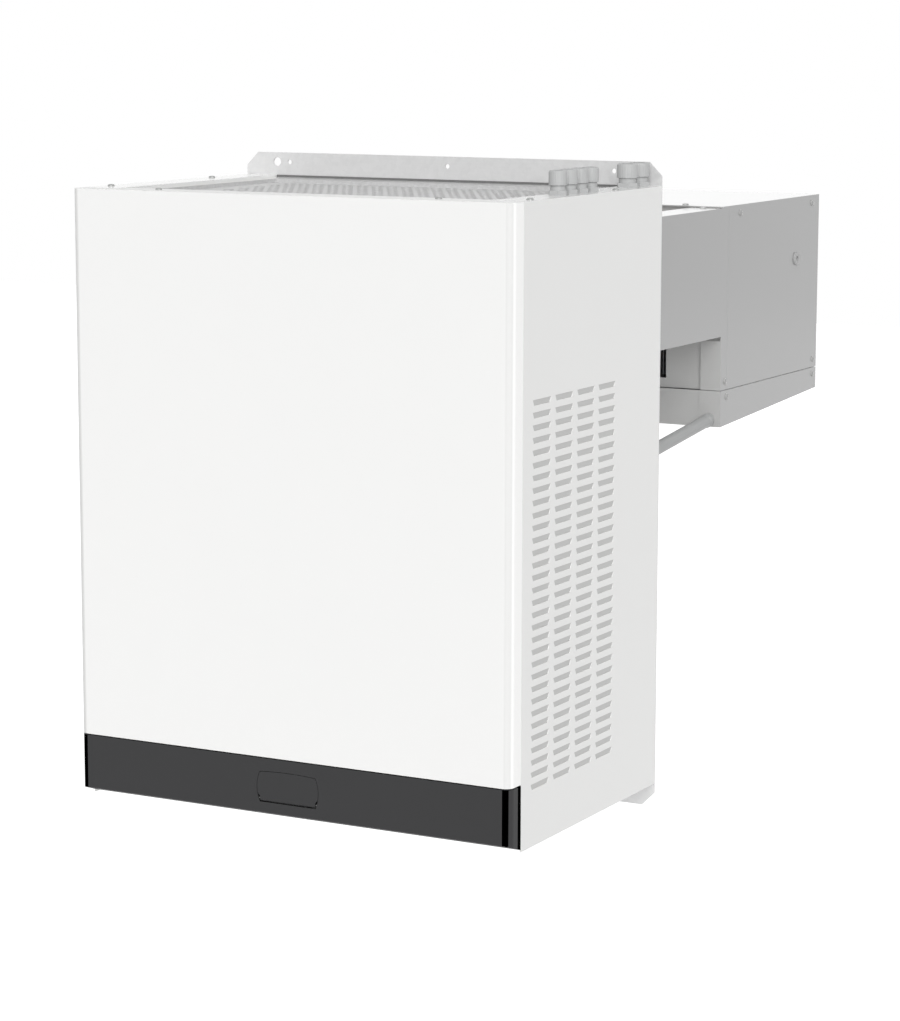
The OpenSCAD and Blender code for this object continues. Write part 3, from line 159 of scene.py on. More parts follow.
def per_metre(size_mm):
    """Scale of a noise or cell texture on object coordinates whose features measure size_mm."""
    return 1 / (size_mm * MM)


print("mid grey in linear light:", round(colour("808080")[0], 3))

# %% [markdown]
# ## Light from all round
#
# A white studio lights white goods from all round. The world is that even light. The camera and
# shiny faces see it as plain white, while the light that it gives to matt faces is a grey level
# below that. A light path node tells the rays apart, which is simpler than a room of white
# cards, and has no seams to mirror.

# %% World
AMBIENT_LEVEL = 0.41
WHITE_LIGHT = (1, 1, 1, 1)
SEEN_RAYS = ("Is Camera Ray", "Is Glossy Ray", "Is Transmission Ray")


def seen_rays(tree):
    """1 for camera, glossy and transmission rays, which see the white background."""
    path = add(tree, "ShaderNodeLightPath")
    total = path.outputs[SEEN_RAYS[0]]
    for name in SEEN_RAYS[1:]:
        either = add(tree, "ShaderNodeMath", {"operation": "MAXIMUM"},
                     links={0: total, 1: path.outputs[name]})
        total = either.outputs[0]
    return total


def studio_world():
    """A world that is white to the eye and AMBIENT_LEVEL to matt faces."""
    world = bpy.data.worlds.new("studio")
    world.use_nodes = True
    tree = world.node_tree
    tree.nodes.clear()
    level = add(tree, "ShaderNodeMapRange", values={"To Min": AMBIENT_LEVEL, "To Max": 1.0},
                links={"Value": seen_rays(tree)})
    glow = add(tree, "ShaderNodeBackground", values={"Color": WHITE_LIGHT},
               links={"Strength": level.outputs["Result"]})
    add(tree, "ShaderNodeOutputWorld", links={"Surface": glow.outputs["Background"]})
    bpy.context.scene.world = world


studio_world()
print("matt faces get", AMBIENT_LEVEL, "of the white that the camera sees")

# %% [markdown]
# ## Two softboxes
#
# Broad lamps give shape. Two suns with a wide disc stand in for softboxes: one above in front,
# and one low on the right that reaches under the neck. A sun lights the whole unit evenly, and
# its wide disc softens the edges of shadows as a large softbox does.

# %% Lamps
KEY_STRENGTH = 0.86
KEY_FROM = Vector((0.26, -0.50, 0.72))
FILL_STRENGTH = 1.5
FILL_FROM = Vector((0.55, -0.75, 0.35))
SOFT_ANGLE = math.radians(40)


def softbox(name, direction, strength):
    """A sun that shines from the given direction, with a disc as wide as SOFT_ANGLE."""
    data = bpy.data.lights.new(name, "SUN")
    data.energy = strength
    data.angle = SOFT_ANGLE
    lamp = bpy.data.objects.new(name, data)
    lamp.rotation_euler = direction.to_track_quat("Z", "Y").to_euler()
    bpy.context.scene.collection.objects.link(lamp)


softbox("key softbox", KEY_FROM, KEY_STRENGTH)
softbox("fill softbox", FILL_FROM, FILL_STRENGTH)
print("lamps:", len(bpy.data.lights))

# %% [markdown]
# ## The ground
#
# The ground is a pale sheet well below the unit, because the unit hangs on a wall. It throws a
# little light up under the casing. It glows faintly where it is seen, so that it fades into the
# white background instead of showing an edge.

# %% Ground
GROUND_BELOW = 1.5
GROUND_SIZE = 40.0
GROUND_GLOW = 0.45
GROUND_ROUGHNESS = 0.9


def ground_material():
    """Matt white card that glows for the rays that are seen."""
    material, tree, shader = new_material("white card")
    shader.inputs["Base Color"].default_value = colour("F2F2F2")
    shader.inputs["Roughness"].default_value = GROUND_ROUGHNESS
    shader.inputs["Emission Color"].default_value = WHITE_LIGHT
    glow = add(tree, "ShaderNodeMath", {"operation": "MULTIPLY"}, {1: GROUND_GLOW}, {0: seen_rays(tree)})
    tree.links.new(glow.outputs[0], shader.inputs["Emission Strength"])
    return material


def ground():
    """One large sheet, which belongs to the stage and not to the unit."""
    half = GROUND_SIZE / 2
    mesh = bpy.data.meshes.new("ground")
    corners = [(-half, -half, 0), (half, -half, 0), (half, half, 0), (-half, half, 0)]
    mesh.from_pydata(corners, [], [(0, 1, 2, 3)])
    mesh.materials.append(ground_material())
    sheet = bpy.data.objects.new("ground", mesh)
    sheet.location.z = cad_box[0][2] - GROUND_BELOW
    bpy.context.scene.collection.objects.link(sheet)


ground()
print("ground lies", GROUND_BELOW, "m below the unit")

# %% [markdown]
# ## Painted sheet
#
# The casing is steel sheet with a polyester powder coat, baked on. The powder melts and flows,
# but not quite flat: it keeps a faint orange peel of about 3 mm, which breaks up reflections
# without dulling them. The peel is drawn a little coarser than it is, or it would vanish at
# this distance. The coat's thickness drifts too, which shows as faint clouds as wide as a hand.

# %% Powder coat
COAT_CLOUD_MM = 90
COAT_BUMP = 0.5


def shade(rgba, share):
    """The colour times a share, kept within white."""
    return tuple(min(1.0, c * share) for c in rgba[:3]) + (1.0,)


def powder_coat(name, hex_text, roughness, peel_mm=4.0, peel_height_mm=0.02, tone=0.012):
    """Baked powder paint: an even colour, faint cloudiness and a shallow orange peel."""
    material, tree, shader = new_material(name)
    place = add(tree, "ShaderNodeTexCoord").outputs["Object"]
    cloud = add(tree, "ShaderNodeTexNoise", values={"Scale": per_metre(COAT_CLOUD_MM), "Detail": 2.0},
                links={"Vector": place})
    base = colour(hex_text)
    tint = add(tree, "ShaderNodeMix", {"data_type": "RGBA"}, {6: shade(base, 1 - tone), 7: base},
               {0: cloud.outputs["Fac"]})
    peel = add(tree, "ShaderNodeTexNoise", values={"Scale": per_metre(peel_mm), "Detail": 1.0},
               links={"Vector": place})
    bump = add(tree, "ShaderNodeBump", values={"Strength": COAT_BUMP, "Distance": peel_height_mm * MM},
               links={"Height": peel.outputs["Fac"]})
    tree.links.new(tint.outputs[2], shader.inputs["Base Color"])
    tree.links.new(bump.outputs["Normal"], shader.inputs["Normal"])
    shader.inputs["Roughness"].default_value = roughness
    return material, tree, shader, tint.outputs[2]


white_coat, white_tree, white_shader, _ = powder_coat("white polyester powder coat", "EAEAE9",
                                                      roughness=0.42)
# A louvre's blade lies in the shadow of its slot, so its white coat is painted grey, as painted shade.
louvre_painted_shade_coat = powder_coat("white powder coat painted grey as shade inside a louvre", "C5C5C4", roughness=0.6)[0]
# Stoved enamel flows out longer than powder, so it is smoother and shines more.
black_enamel = powder_coat("black stoving enamel", "1A1A1B", roughness=0.25, peel_mm=6)[0]
print("coats:", white_coat.name, louvre_painted_shade_coat.name, black_enamel.name, sep=", ")

# %% [markdown]
# ## Tones that follow the normal
#
# Coated sheet looks darker or paler with the way it faces. Here some of that light and shade
# is painted into the coat's colour, as painted shade and painted highlight, and a clear layer
# mirrors more at a low angle. A ramp along one part of the normal picks out the faces and bends
# that get their own painted tone or clear layer. It holds at any size of the casing, which a
# mask by place would not.

# %% Ramp along the normal
CLEAR_LAYER_IOR = 1.6
CLEAR_LAYER_ROUGHNESS = 0.14


def bands_by_normal(tree, stops, axis="X"):
    """A ramp along the size of one part of the normal; stops are (place, hex colour)."""
    normal = add(tree, "ShaderNodeNewGeometry").outputs["Normal"]
    parts = add(tree, "ShaderNodeSeparateXYZ", links={"Vector": normal})
    size = add(tree, "ShaderNodeMath", {"operation": "ABSOLUTE"}, links={0: parts.outputs[axis]})
    ramp = add(tree, "ShaderNodeValToRGB", links={"Fac": size.outputs[0]})
    elements = ramp.color_ramp.elements
    while len(elements) < len(stops):
        elements.new(1.0)
    for element, (place, hex_text) in zip(elements, stops):
        element.position = place
        element.color = colour(hex_text)
    return ramp.outputs["Color"]


def set_clear_layer(shader):
    """How the clear layer over a coat mirrors; its weight is set apart."""
    shader.inputs["Coat IOR"].default_value = CLEAR_LAYER_IOR
    shader.inputs["Coat Roughness"].default_value = CLEAR_LAYER_ROUGHNESS


print("clear layer has an IOR of", CLEAR_LAYER_IOR)

# %% [markdown]
# ## The evaporator's coat
#
# The evaporator stands in a cold room, so its sheets have a grey coat with a clear layer over
# it, which keeps them easy to wash. Its side walls are painted darker than its front, as
# painted shade beyond what the lamps alone give them, so the coat has a tone for each. Its lids
# are painted paler still, as a painted reflection of the white room. At each point the lighter
# of the two ramps counts.

# %% Evaporator's coat
# Painted shade darkens the side walls; a painted reflection whitens the lids.
WALL_TONES_WITH_PAINTED_SHADE = ((0.3, "B2B2B1"), (0.8, "8E8E8E"))
LID_PAINTED_REFLECTION_BANDS = ((0.85, "000000"), (0.95, "FCFCFC"))


def evaporator_coat():
    """Grey coat with painted shade on its side panels, darker than its front, and a painted reflection that
    makes its top faces pale.
    """
    material, tree, shader, tint = powder_coat("grey polyester powder coat with clear layer", "FFFFFF",
                                               roughness=0.4)
    wall_tones_with_painted_shade = bands_by_normal(tree, WALL_TONES_WITH_PAINTED_SHADE)
    painted_lid_reflection = bands_by_normal(tree, LID_PAINTED_REFLECTION_BANDS, "Z")
    tone = add(tree, "ShaderNodeMix", {"data_type": "RGBA", "blend_type": "LIGHTEN"}, {0: 1.0},
               {6: wall_tones_with_painted_shade, 7: painted_lid_reflection})
    base = add(tree, "ShaderNodeMix", {"data_type": "RGBA", "blend_type": "MULTIPLY"}, {0: 1.0},
               {6: tint, 7: tone.outputs[2]})
    tree.links.new(base.outputs[2], shader.inputs["Base Color"])
    shader.inputs["Coat Weight"].default_value = 1.0
    set_clear_layer(shader)
    return material


grey_coat = evaporator_coat()
print("made", grey_coat.name)

# %% [markdown]
# ## Level borders and rolled corners
#
# The casing's level border has the same pale sheen as the evaporator's lids, so the white coat
# gets a clear layer where it lies level. The front panel's corners are rolled round a bar, not
# folded. Where the sheet turns away from the lamps its coat is painted a shade darker, as
# painted shade, and the narrow return behind the corner is painted white, as a painted
# highlight of the fill lamp. So the front panel has a coat of its own, with four stops from
# flat sheet over the corner to the return.

# %% Level border and rolled corners
LEVEL_BANDS = ((0.85, "000000"), (0.95, "FFFFFF"))
# Painted shade over the rolled corner, and a painted highlight on the return behind it.
CORNER_SHADE_AND_HIGHLIGHT_BANDS = ((0.10, "F0F0F0"), (0.22, "E2E2E2"), (0.80, "E2E2E2"), (0.93, "FFFFFF"))


def rolled_coat():
    """White coat with painted shade on rolled corners and a painted highlight on the return behind them."""
    material, tree, shader, tint = powder_coat("white powder coat on rolled sheet", "FDFDFC",
                                               roughness=0.42)
    painted_corner_light = bands_by_normal(tree, CORNER_SHADE_AND_HIGHLIGHT_BANDS)
    rolled = add(tree, "ShaderNodeMix", {"data_type": "RGBA", "blend_type": "MULTIPLY"}, {0: 1.0},
                 {6: tint, 7: painted_corner_light})
    tree.links.new(rolled.outputs[2], shader.inputs["Base Color"])
    return material


level = bands_by_normal(white_tree, LEVEL_BANDS, "Z")
white_tree.links.new(level, white_shader.inputs["Coat Weight"])
set_clear_layer(white_shader)
front_coat = rolled_coat()
print("made", front_coat.name)

# %% [markdown]
# ## Galvanised and plated steel
#
# Hot-dip galvanised sheet shows spangle: flat crystals of zinc about 8 mm across, each a
# slightly different grey because each mirrors the room at its own tilt. A cell texture gives
# every crystal its own tone and roughness. The rolling direction leaves fine streaks, drawn by
# stretching a noise along X. A skin pass rolls the crystals flat and pale. Screws are plated
# with zinc, which is finer and more even, and fin stock is bright rolled aluminium.

# %% Zinc finishes
STREAK_MM = 3
STREAK_STRETCH = (0.08, 1.0, 1.0)
CRYSTAL_ROUGHNESS = 0.06


def zinc_sheet(name, hex_text, roughness, spangle_mm, contrast, metallic=0.75):
    """Zinc on steel: crystals of their own tone, and streaks along the sheet."""
    material, tree, shader = new_material(name)
    place = add(tree, "ShaderNodeTexCoord").outputs["Object"]
    cells = add(tree, "ShaderNodeTexVoronoi", values={"Scale": per_metre(spangle_mm)},
                links={"Vector": place})
    tone = add(tree, "ShaderNodeSeparateColor", links={"Color": cells.outputs["Color"]}).outputs["Red"]
    stretch = add(tree, "ShaderNodeMapping", values={"Scale": STREAK_STRETCH}, links={"Vector": place})
    streak = add(tree, "ShaderNodeTexNoise", values={"Scale": per_metre(STREAK_MM), "Detail": 3.0},
                 links={"Vector": stretch.outputs["Vector"]})
    total = add(tree, "ShaderNodeMath", {"operation": "ADD"}, links={0: tone, 1: streak.outputs["Fac"]})
    half = add(tree, "ShaderNodeMath", {"operation": "MULTIPLY"}, {1: 0.5}, {0: total.outputs[0]})
    base = colour(hex_text)
    tint = add(tree, "ShaderNodeMix", {"data_type": "RGBA"},
               {6: shade(base, 1 - contrast), 7: shade(base, 1 + contrast)}, {0: half.outputs[0]})
    rough = add(tree, "ShaderNodeMapRange",
                values={"To Min": roughness - CRYSTAL_ROUGHNESS, "To Max": roughness + CRYSTAL_ROUGHNESS},
                links={"Value": tone})
    tree.links.new(tint.outputs[2], shader.inputs["Base Color"])
    tree.links.new(rough.outputs["Result"], shader.inputs["Roughness"])
    shader.inputs["Metallic"].default_value = metallic
    return material


galvanised = zinc_sheet("hot-dip galvanised steel", "C2C3C4", roughness=0.45, spangle_mm=8,
                        contrast=0.10)
# Rolled flat, the crystals lose their outlines, and the sheet scatters light like pale paint.
wall_sheet = zinc_sheet("skin-passed galvanised steel", "DCDCDC", roughness=0.5, spangle_mm=5,
                        contrast=0.05, metallic=0.35)
# Between the holes only a strip of each crystal is left, so they look finer.
grille_sheet = zinc_sheet("perforated galvanised steel", "C8C8C8", roughness=0.5, spangle_mm=3,
                          contrast=0.12, metallic=0.35)
zinc_plate = zinc_sheet("zinc plated steel", "A8A9A8", roughness=0.4, spangle_mm=2, contrast=0.06,
                        metallic=0.5)
fin_stock = zinc_sheet("aluminium fin stock", "C9CBCC", roughness=0.4, spangle_mm=12, contrast=0.05,
                       metallic=0.9)
print("zinc finishes:", galvanised.name, wall_sheet.name, grille_sheet.name, zinc_plate.name, sep=", ")

# %% [markdown]
# ## Mouldings, rubber and foam
#
# Moulded plastic copies the grain that was etched into its mould, here a fine one of about
# 1 mm, so it scatters light evenly and its highlights are soft. Glands and pipes are plain
# plastic, seals are rubber, and the neck is filled with rigid foam, whose cut face shows its
# cells. One maker serves for all, with the grain set as coarse as each of them shows it.

# %% Moulded materials
MOULD_CLOUD_MM = 40
MOULD_CLOUD_SHARE = 0.94
MOULD_BUMP = 0.4


def moulded(name, hex_text, roughness, grain_mm=1.2, grain_height_mm=0.03, specular=0.4):
    """Injection moulded plastic with an etched grain, or foam and the painted shadow strip with a coarse
    one.
    """
    material, tree, shader = new_material(name)
    place = add(tree, "ShaderNodeTexCoord").outputs["Object"]
    grain = add(tree, "ShaderNodeTexNoise", values={"Scale": per_metre(grain_mm), "Detail": 2.0},
                links={"Vector": place})
    bump = add(tree, "ShaderNodeBump", values={"Strength": MOULD_BUMP, "Distance": grain_height_mm * MM},
               links={"Height": grain.outputs["Fac"]})
    base = colour(hex_text)
    cloud = add(tree, "ShaderNodeTexNoise", values={"Scale": per_metre(MOULD_CLOUD_MM)},
                links={"Vector": place})
    tint = add(tree, "ShaderNodeMix", {"data_type": "RGBA"}, {6: shade(base, MOULD_CLOUD_SHARE), 7: base},
               {0: cloud.outputs["Fac"]})
    tree.links.new(tint.outputs[2], shader.inputs["Base Color"])
    tree.links.new(bump.outputs["Normal"], shader.inputs["Normal"])
    shader.inputs["Roughness"].default_value = roughness
    shader.inputs["Specular IOR Level"].default_value = specular
    return material, tree, shader, tint.outputs[2]


# Glass fibre near the surface dulls nylon a little. Unfilled, it shines softly.
black_plastic = moulded("black glass-filled nylon", "161617", roughness=0.5)[0]
gland_nylon = moulded("light grey nylon", "B6B7B7", roughness=0.45)[0]
# Silicone is dull, polypropylene waxy, and pressed melamine hard and smooth.
key_mat = moulded("grey silicone key mat", "6A6B6E", roughness=0.6)[0]
grey_plastic = moulded("grey polypropylene", "8C8D8F", roughness=0.45)[0]
ivory_plastic = moulded("ivory melamine", "D9D3BE", roughness=0.4)[0]
pipe_grey = moulded("grey PVC pipe", "A3A4A4", roughness=0.4)[0]
# Rubber scatters nearly all its light, so it shows hardly any highlight.
rubber = moulded("black rubber", "1C1C1C", roughness=0.75)[0]
grey_rubber = moulded("light grey EPDM rubber", "B2B2B2", roughness=0.6)[0]
# The cells of foam are coarser than a mould's grain and trap the light. The grey strip that is painted
# shadow behind the grille gets such a coarse grain too.
pipe_foam = moulded("closed cell pipe insulation", "151516", roughness=0.85, grain_mm=2.5,
                    grain_height_mm=0.15)[0]
wall_foam = moulded("graphite polystyrene foam", "C6C6C5", roughness=0.9, grain_mm=3,
                    grain_height_mm=0.3)[0]
shadow_strip_coat = moulded("grey strip of painted shadow", "7A7A7A", roughness=0.9, grain_mm=2, grain_height_mm=0.2,
                    specular=0.1)[0]
# Solder resist flows out glossy, and the window is polished, so it has no grain at all.
board_green = moulded("printed circuit board", "1F5A34", roughness=0.35)[0]
window_red = moulded("smoked red window", "3A0D0D", roughness=0.12, grain_height_mm=0.0,
                     specular=0.6)[0]
print("mouldings:", gland_nylon.name, grey_rubber.name, wall_foam.name, window_red.name, sep=", ")

# %% [markdown]
# ## The dark strip
#
# The strip under the front is ABS in dark grey. Each rounded corner is painted black, as a
# painted dark reflection, and the last 7.5 mm before the side panel are painted black too, as a
# painted shadow where the strip dips behind the sheet. The corner band is found by the normal,
# like the rolled corner above, and the rear band by its distance from the front. Both bands
# lose their shine as well, or the white room would lift their black.

# %% Dark ABS with black bands
STRIP_GREY, STRIP_BLACK = "353536", "030303"
STRIP_ROUGHNESS = 0.55
STRIP_SPECULAR = 0.25
# Painted shadow along the rear, 7.5 mm wide, and painted dark reflection on the rounded corners.
STRIP_REAR_SHADOW_W = 7.5
CORNER_DARK_REFLECTION_BANDS = ((0.05, "FFFFFF"), (0.07, STRIP_BLACK), (0.68, STRIP_BLACK), (0.72, "FFFFFF"))
strip_low, strip_high = box_mm("kick_strip")


def strip_material():
    """Dark grey ABS, with a dull painted dark reflection on the rounded corners and a dull painted shadow
    along the rear.
    """
    material, tree, shader, tint = moulded("dark grey ABS", STRIP_GREY, STRIP_ROUGHNESS)
    painted_corner_reflection = bands_by_normal(tree, CORNER_DARK_REFLECTION_BANDS)
    place = add(tree, "ShaderNodeTexCoord").outputs["Object"]
    depth = add(tree, "ShaderNodeSeparateXYZ", links={"Vector": place}).outputs["Y"]
    ahead_of_rear_shadow = add(tree, "ShaderNodeMath", {"operation": "LESS_THAN"},
                  {1: (strip_high[1] - STRIP_REAR_SHADOW_W) * MM}, {0: depth})
    with_corner_reflection = add(tree, "ShaderNodeMix", {"data_type": "RGBA", "blend_type": "MULTIPLY"}, {0: 1.0},
                     {6: tint, 7: painted_corner_reflection})
    with_rear_shadow = add(tree, "ShaderNodeMix", {"data_type": "RGBA"}, {6: colour(STRIP_BLACK)},
                    {0: ahead_of_rear_shadow.outputs[0], 7: with_corner_reflection.outputs[2]})
    tree.links.new(with_rear_shadow.outputs[2], shader.inputs["Base Color"])
    outside_painted_dark = add(tree, "ShaderNodeMath", {"operation": "MULTIPLY"}, links={0: painted_corner_reflection, 1: ahead_of_rear_shadow.outputs[0]})
    gloss = add(tree, "ShaderNodeMath", {"operation": "MULTIPLY"}, {1: STRIP_SPECULAR},
                {0: outside_painted_dark.outputs[0]})
    tree.links.new(gloss.outputs[0], shader.inputs["Specular IOR Level"])
    return material


strip_abs = strip_material()
flap_abs = moulded("dark grey ABS of the flap", STRIP_GREY, STRIP_ROUGHNESS, specular=STRIP_SPECULAR)[0]
print("strip is", round(strip_high[2] - strip_low[2], 1), "mm high")

# %% [markdown]
# ## Copper
#
# Refrigeration tube is drawn copper. It leaves the die bright and browns where it is soldered
# and handled, so the colour wanders between orange and brown over a few centimetres, and the
# brown patches are duller. One noise drives both the colour and the roughness.

# %% Copper
COPPER_PATCH_MM = 35
COPPER_BROWN, COPPER_BRIGHT = "8A5A41", "D08A63"
BROWN_ROUGHNESS, BRIGHT_ROUGHNESS = 0.45, 0.22


def drawn_copper():
    """Copper with brown, dull patches on bright, orange metal."""
    material, tree, shader = new_material("drawn copper tube")
    place = add(tree, "ShaderNodeTexCoord").outputs["Object"]
    patch = add(tree, "ShaderNodeTexNoise", values={"Scale": per_metre(COPPER_PATCH_MM), "Detail": 3.0},
                links={"Vector": place})
    tint = add(tree, "ShaderNodeMix", {"data_type": "RGBA"},
               {6: colour(COPPER_BROWN), 7: colour(COPPER_BRIGHT)}, {0: patch.outputs["Fac"]})
    rough = add(tree, "ShaderNodeMapRange",
                values={"To Min": BROWN_ROUGHNESS, "To Max": BRIGHT_ROUGHNESS},
                links={"Value": patch.outputs["Fac"]})
    tree.links.new(tint.outputs[2], shader.inputs["Base Color"])
    tree.links.new(rough.outputs["Result"], shader.inputs["Roughness"])
    shader.inputs["Metallic"].default_value = 1.0
    return material


copper = drawn_copper()
print("made", copper.name)

# %% [markdown]
# ## Dressing the solids
#
# Most solids already have their true shape, because sheet metal and tube are simple forms.
# They only need their finish. A table of finish to nodes keeps this readable, and the count at
# the end shows that none was forgotten.

# %% Finishes of the solids
FINISHES = [
    (front_coat, ["front_panel"]),
    (white_coat, ["left_side_panel", "right_side_panel"]),
    (grey_coat, ["neck_shell", "evap_front_frame", "evap_left_panel", "evap_right_panel",
                 "evap_top_cover", "evap_fan_plate", "evap_fan_rings", "drip_tray"]),
    (wall_sheet, ["wall_plate"]),
    (grille_sheet, ["top_grille"]),
    (galvanised, ["base_pan", "fan_deck", "electrical_box", "electrical_lid", "controller_bracket",
                  "condenser_bracket", "evap_brackets"]),
    (zinc_plate, ["flap_pin", "compressor_bolts", "tray_heater", "casing_screws", "evap_screws"]),
    (fin_stock, ["condenser_coil", "evap_coil"]),
    (strip_abs, ["kick_strip"]),
    (flap_abs, ["controller_flap"]),
    (black_plastic, ["controller_case", "compressor_cover", "condenser_fan", "evap_fan_left",
                     "evap_fan_right"]),
    (gland_nylon, ["small_glands", "large_glands"]),
    (key_mat, ["key_up", "key_down", "key_set", "key_defrost"]),
    (grey_plastic, ["condensate_pan", "contactor"]),
    (pipe_grey, ["drain_pipe"]),
    (ivory_plastic, ["terminal_block"]),
    (rubber, ["compressor_grommets"]),
    (grey_rubber, ["probe_grommet"]),
    (black_enamel, ["compressor_shell", "compressor_feet", "condenser_motor", "evap_motors", "fan_guards"]),
    (copper, ["condenser_bends", "evap_bends", "discharge_line", "liquid_line", "filter_drier"]),
    (pipe_foam, ["suction_line"]),
    (wall_foam, ["neck_foam"]),
    (board_green, ["control_board"]),
    (window_red, ["display_window"])]

dressed = set()
for material, names in FINISHES:
    for name in names:
        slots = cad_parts[name].data.materials
        slots.clear()
        slots.append(material)
        dressed.add(name)
print("dressed", len(dressed), "of", len(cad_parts), "left:", sorted(set(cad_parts) - dressed))

# %% [markdown]
# ## Shapes as lists
#
# The added pieces are made from plain lists of corners and faces, in millimetres. A shape is a
# pair of such lists. Shapes are moved and joined as lists before they become one object, which
# is faster than joining objects. The simplest maker is a closed box between two corners.

# %% Joining, moving and boxes
def joined(shapes):
    """One shape from several."""
    corners = []
    faces = []
    for points, polygons in shapes:
        start = len(corners)
        corners += points
        faces += [tuple(start + i for i in polygon) for polygon in polygons]
    return corners, faces


def moved(shape, matrix):
    """The shape under a matrix."""
    points, polygons = shape
    return [matrix @ Vector(p) for p in points], polygons


def box_shape(low, high):
    """A closed box between two corners."""
    x0, y0, z0 = low
    x1, y1, z1 = high
    points = [(x0, y0, z0), (x1, y0, z0), (x1, y1, z0), (x0, y1, z0),
              (x0, y0, z1), (x1, y0, z1), (x1, y1, z1), (x0, y1, z1)]
    polygons = [(3, 2, 1, 0), (4, 5, 6, 7), (0, 1, 5, 4), (1, 2, 6, 5), (2, 3, 7, 6), (3, 0, 4, 7)]
    return [Vector(p) for p in points], polygons


print("a box has", len(box_shape((0, 0, 0), (1, 1, 1))[1]), "faces")

# %% [markdown]
# ## The lathe
#
# Glands, hubs, shafts, rods and wire rings are all round about an axis. A lathe turns a closed
# half section about Z. Where a part is not quite round, such as a hexagon or a fluted cap, a
# function gives the radius at each angle. A section can't reach the axis, where its corners
# would fall together, so solid parts keep a bore that is too thin to see.

# %% Lathe
AXIS_R = 0.01
LATHE_STEPS = 24


def turned(step, steps):
    """Angle after some of the steps of a full turn."""
    return 2 * math.pi * step / steps


def lathe_shape(section, steps=LATHE_STEPS, radius_at=None):
    """Turns a closed half section of (radius, height) about Z. radius_at may change a radius by angle."""
    points = []
    for step in range(steps):
        angle = turned(step, steps)
        for radius, height in section:
            r = radius_at(radius, angle) if radius_at else radius
            points.append(Vector((r * math.cos(angle), r * math.sin(angle), height)))
    count = len(section)
    polygons = []
    for step in range(steps):
        after = (step + 1) % steps
        for i in range(count):
            j = (i + 1) % count
            polygons.append((step * count + i, after * count + i, after * count + j, step * count + j))
    return points, polygons


def rod_shape(start, end, radius, steps):
    """A round rod with flat ends between two points."""
    axis = end - start
    turn = axis.to_track_quat("Z", "Y").to_matrix().to_4x4()
    rod = lathe_shape([(AXIS_R, 0), (radius, 0), (radius, axis.length), (AXIS_R, axis.length)], steps)
    return moved(rod, Matrix.Translation(start) @ turn)


print("a quarter turn is", round(turned(1, 4), 3), "rad")

# %% [markdown]
# ## Closed sheets
#
# Louvre blades and fan blades are thin and curved. Their middle surface is a formula of two
# values, sampled on a grid. The normal at each point comes from two small steps on the surface.
# Half the thickness to each side along the normal, and a rim between, makes a closed sheet.

# %% Sheets from a surface
NUDGE = 0.01


def between(ends, share):
    """A value that runs from the first end to the second."""
    return ends[0] + (ends[1] - ends[0]) * share


def surface(point_at, downs, alongs):
    """A grid of (point, normal) pairs of the surface point_at(down, along)."""
    grid = []
    for down in downs:
        row = []
        for along in alongs:
            step_down = point_at(down + NUDGE, along) - point_at(down - NUDGE, along)
            step_along = point_at(down, along + NUDGE) - point_at(down, along - NUDGE)
            row.append((point_at(down, along), step_down.cross(step_along).normalized()))
        grid.append(row)
    return grid


def sheet_shape(grid, thickness):
    """A closed sheet from a grid of (point, normal) pairs, as thick as asked."""
    rows = len(grid)
    columns = len(grid[0])
    half = thickness / 2
    points = [p + n * half for row in grid for p, n in row]
    points += [p - n * half for row in grid for p, n in row]
    under = rows * columns
    polygons = []
    for i in range(rows - 1):
        for j in range(columns - 1):
            a, b = i * columns + j, i * columns + j + 1
            c, d = b + columns, a + columns
            polygons += [(a, b, c, d), (under + d, under + c, under + b, under + a)]
    rim = list(range(columns))
    rim += [i * columns + columns - 1 for i in range(1, rows)]
    rim += [(rows - 1) * columns + j for j in range(columns - 2, -1, -1)]
    rim += [i * columns for i in range(rows - 2, 0, -1)]
    for a, b in zip(rim, rim[1:] + rim[:1]):
        polygons.append((b, a, under + a, under + b))
    return points, polygons


print("halfway from 10 to 20 is", between((10, 20), 0.5))

# %% [markdown]
# ## From a shape to a piece
#
# One function turns a shape into an object in metres. Each object rides on the body that
# carries the real piece, may stand in for plainer solids, and has a slot that says what it is
# made of. Edges sharper than a given angle stay sharp, as on the real moulding.

# %% Pieces
def piece(name, shape, material, body, smooth_deg=None, replaced=()):
    """An object from a shape in millimetres, riding on a body."""
    points, polygons = moved(shape, Matrix.Scale(MM, 4))
    mesh = bpy.data.meshes.new(name)
    mesh.from_pydata([tuple(p) for p in points], [], polygons)
    mesh.materials.append(material)
    mesh.validate()
    if smooth_deg is not None:
        mesh.shade_smooth()
        mesh.set_sharp_from_angle(angle=math.radians(smooth_deg))
    made = bpy.data.objects.new(name, mesh)
    bpy.context.scene.collection.objects.link(made)
    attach(made, body)
    if replaced:
        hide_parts(*replaced)
    print(name, len(mesh.polygons), "faces")
    return made


# %% [markdown]
# ## A louvre's blade
#
# A louvre is cut and pressed in one stroke: the tool slits the sheet along one long edge and
# pushes the metal inward, so the blade stays joined at its top and ends, and its corners draw
# round. Through each slot of the side panels the blade behind it shows as a band of grey, which
# is painted shade. The slots are in the solid already. Each blade here is a closed sheet just
# inside its slot, which leans inward from the upper edge to the lower one, and its coat is
# painted grey, as painted shade for the shadow it lies in.

# %% One louvre blade
LOUVRE_W = 46.0
LOUVRE_H = 6.5
# Depth behind the panel's face, at the slot's upper edge and at the lip.
LOUVRE_DEPTH = (0.9, 1.6)
LOUVRE_GAP = 0.1
LOUVRE_SHEET = 1.0
LOUVRE_LOWER_SHARE = 0.86
LOUVRE_STEPS = (12, 4)

side_low, side_high = box_mm("right_side_panel")
X_SIDE = side_high[0]
TOP_Z = side_high[2]
BOTTOM_Z = side_low[2]
FRONT_Y = box_mm("front_panel")[0][1]


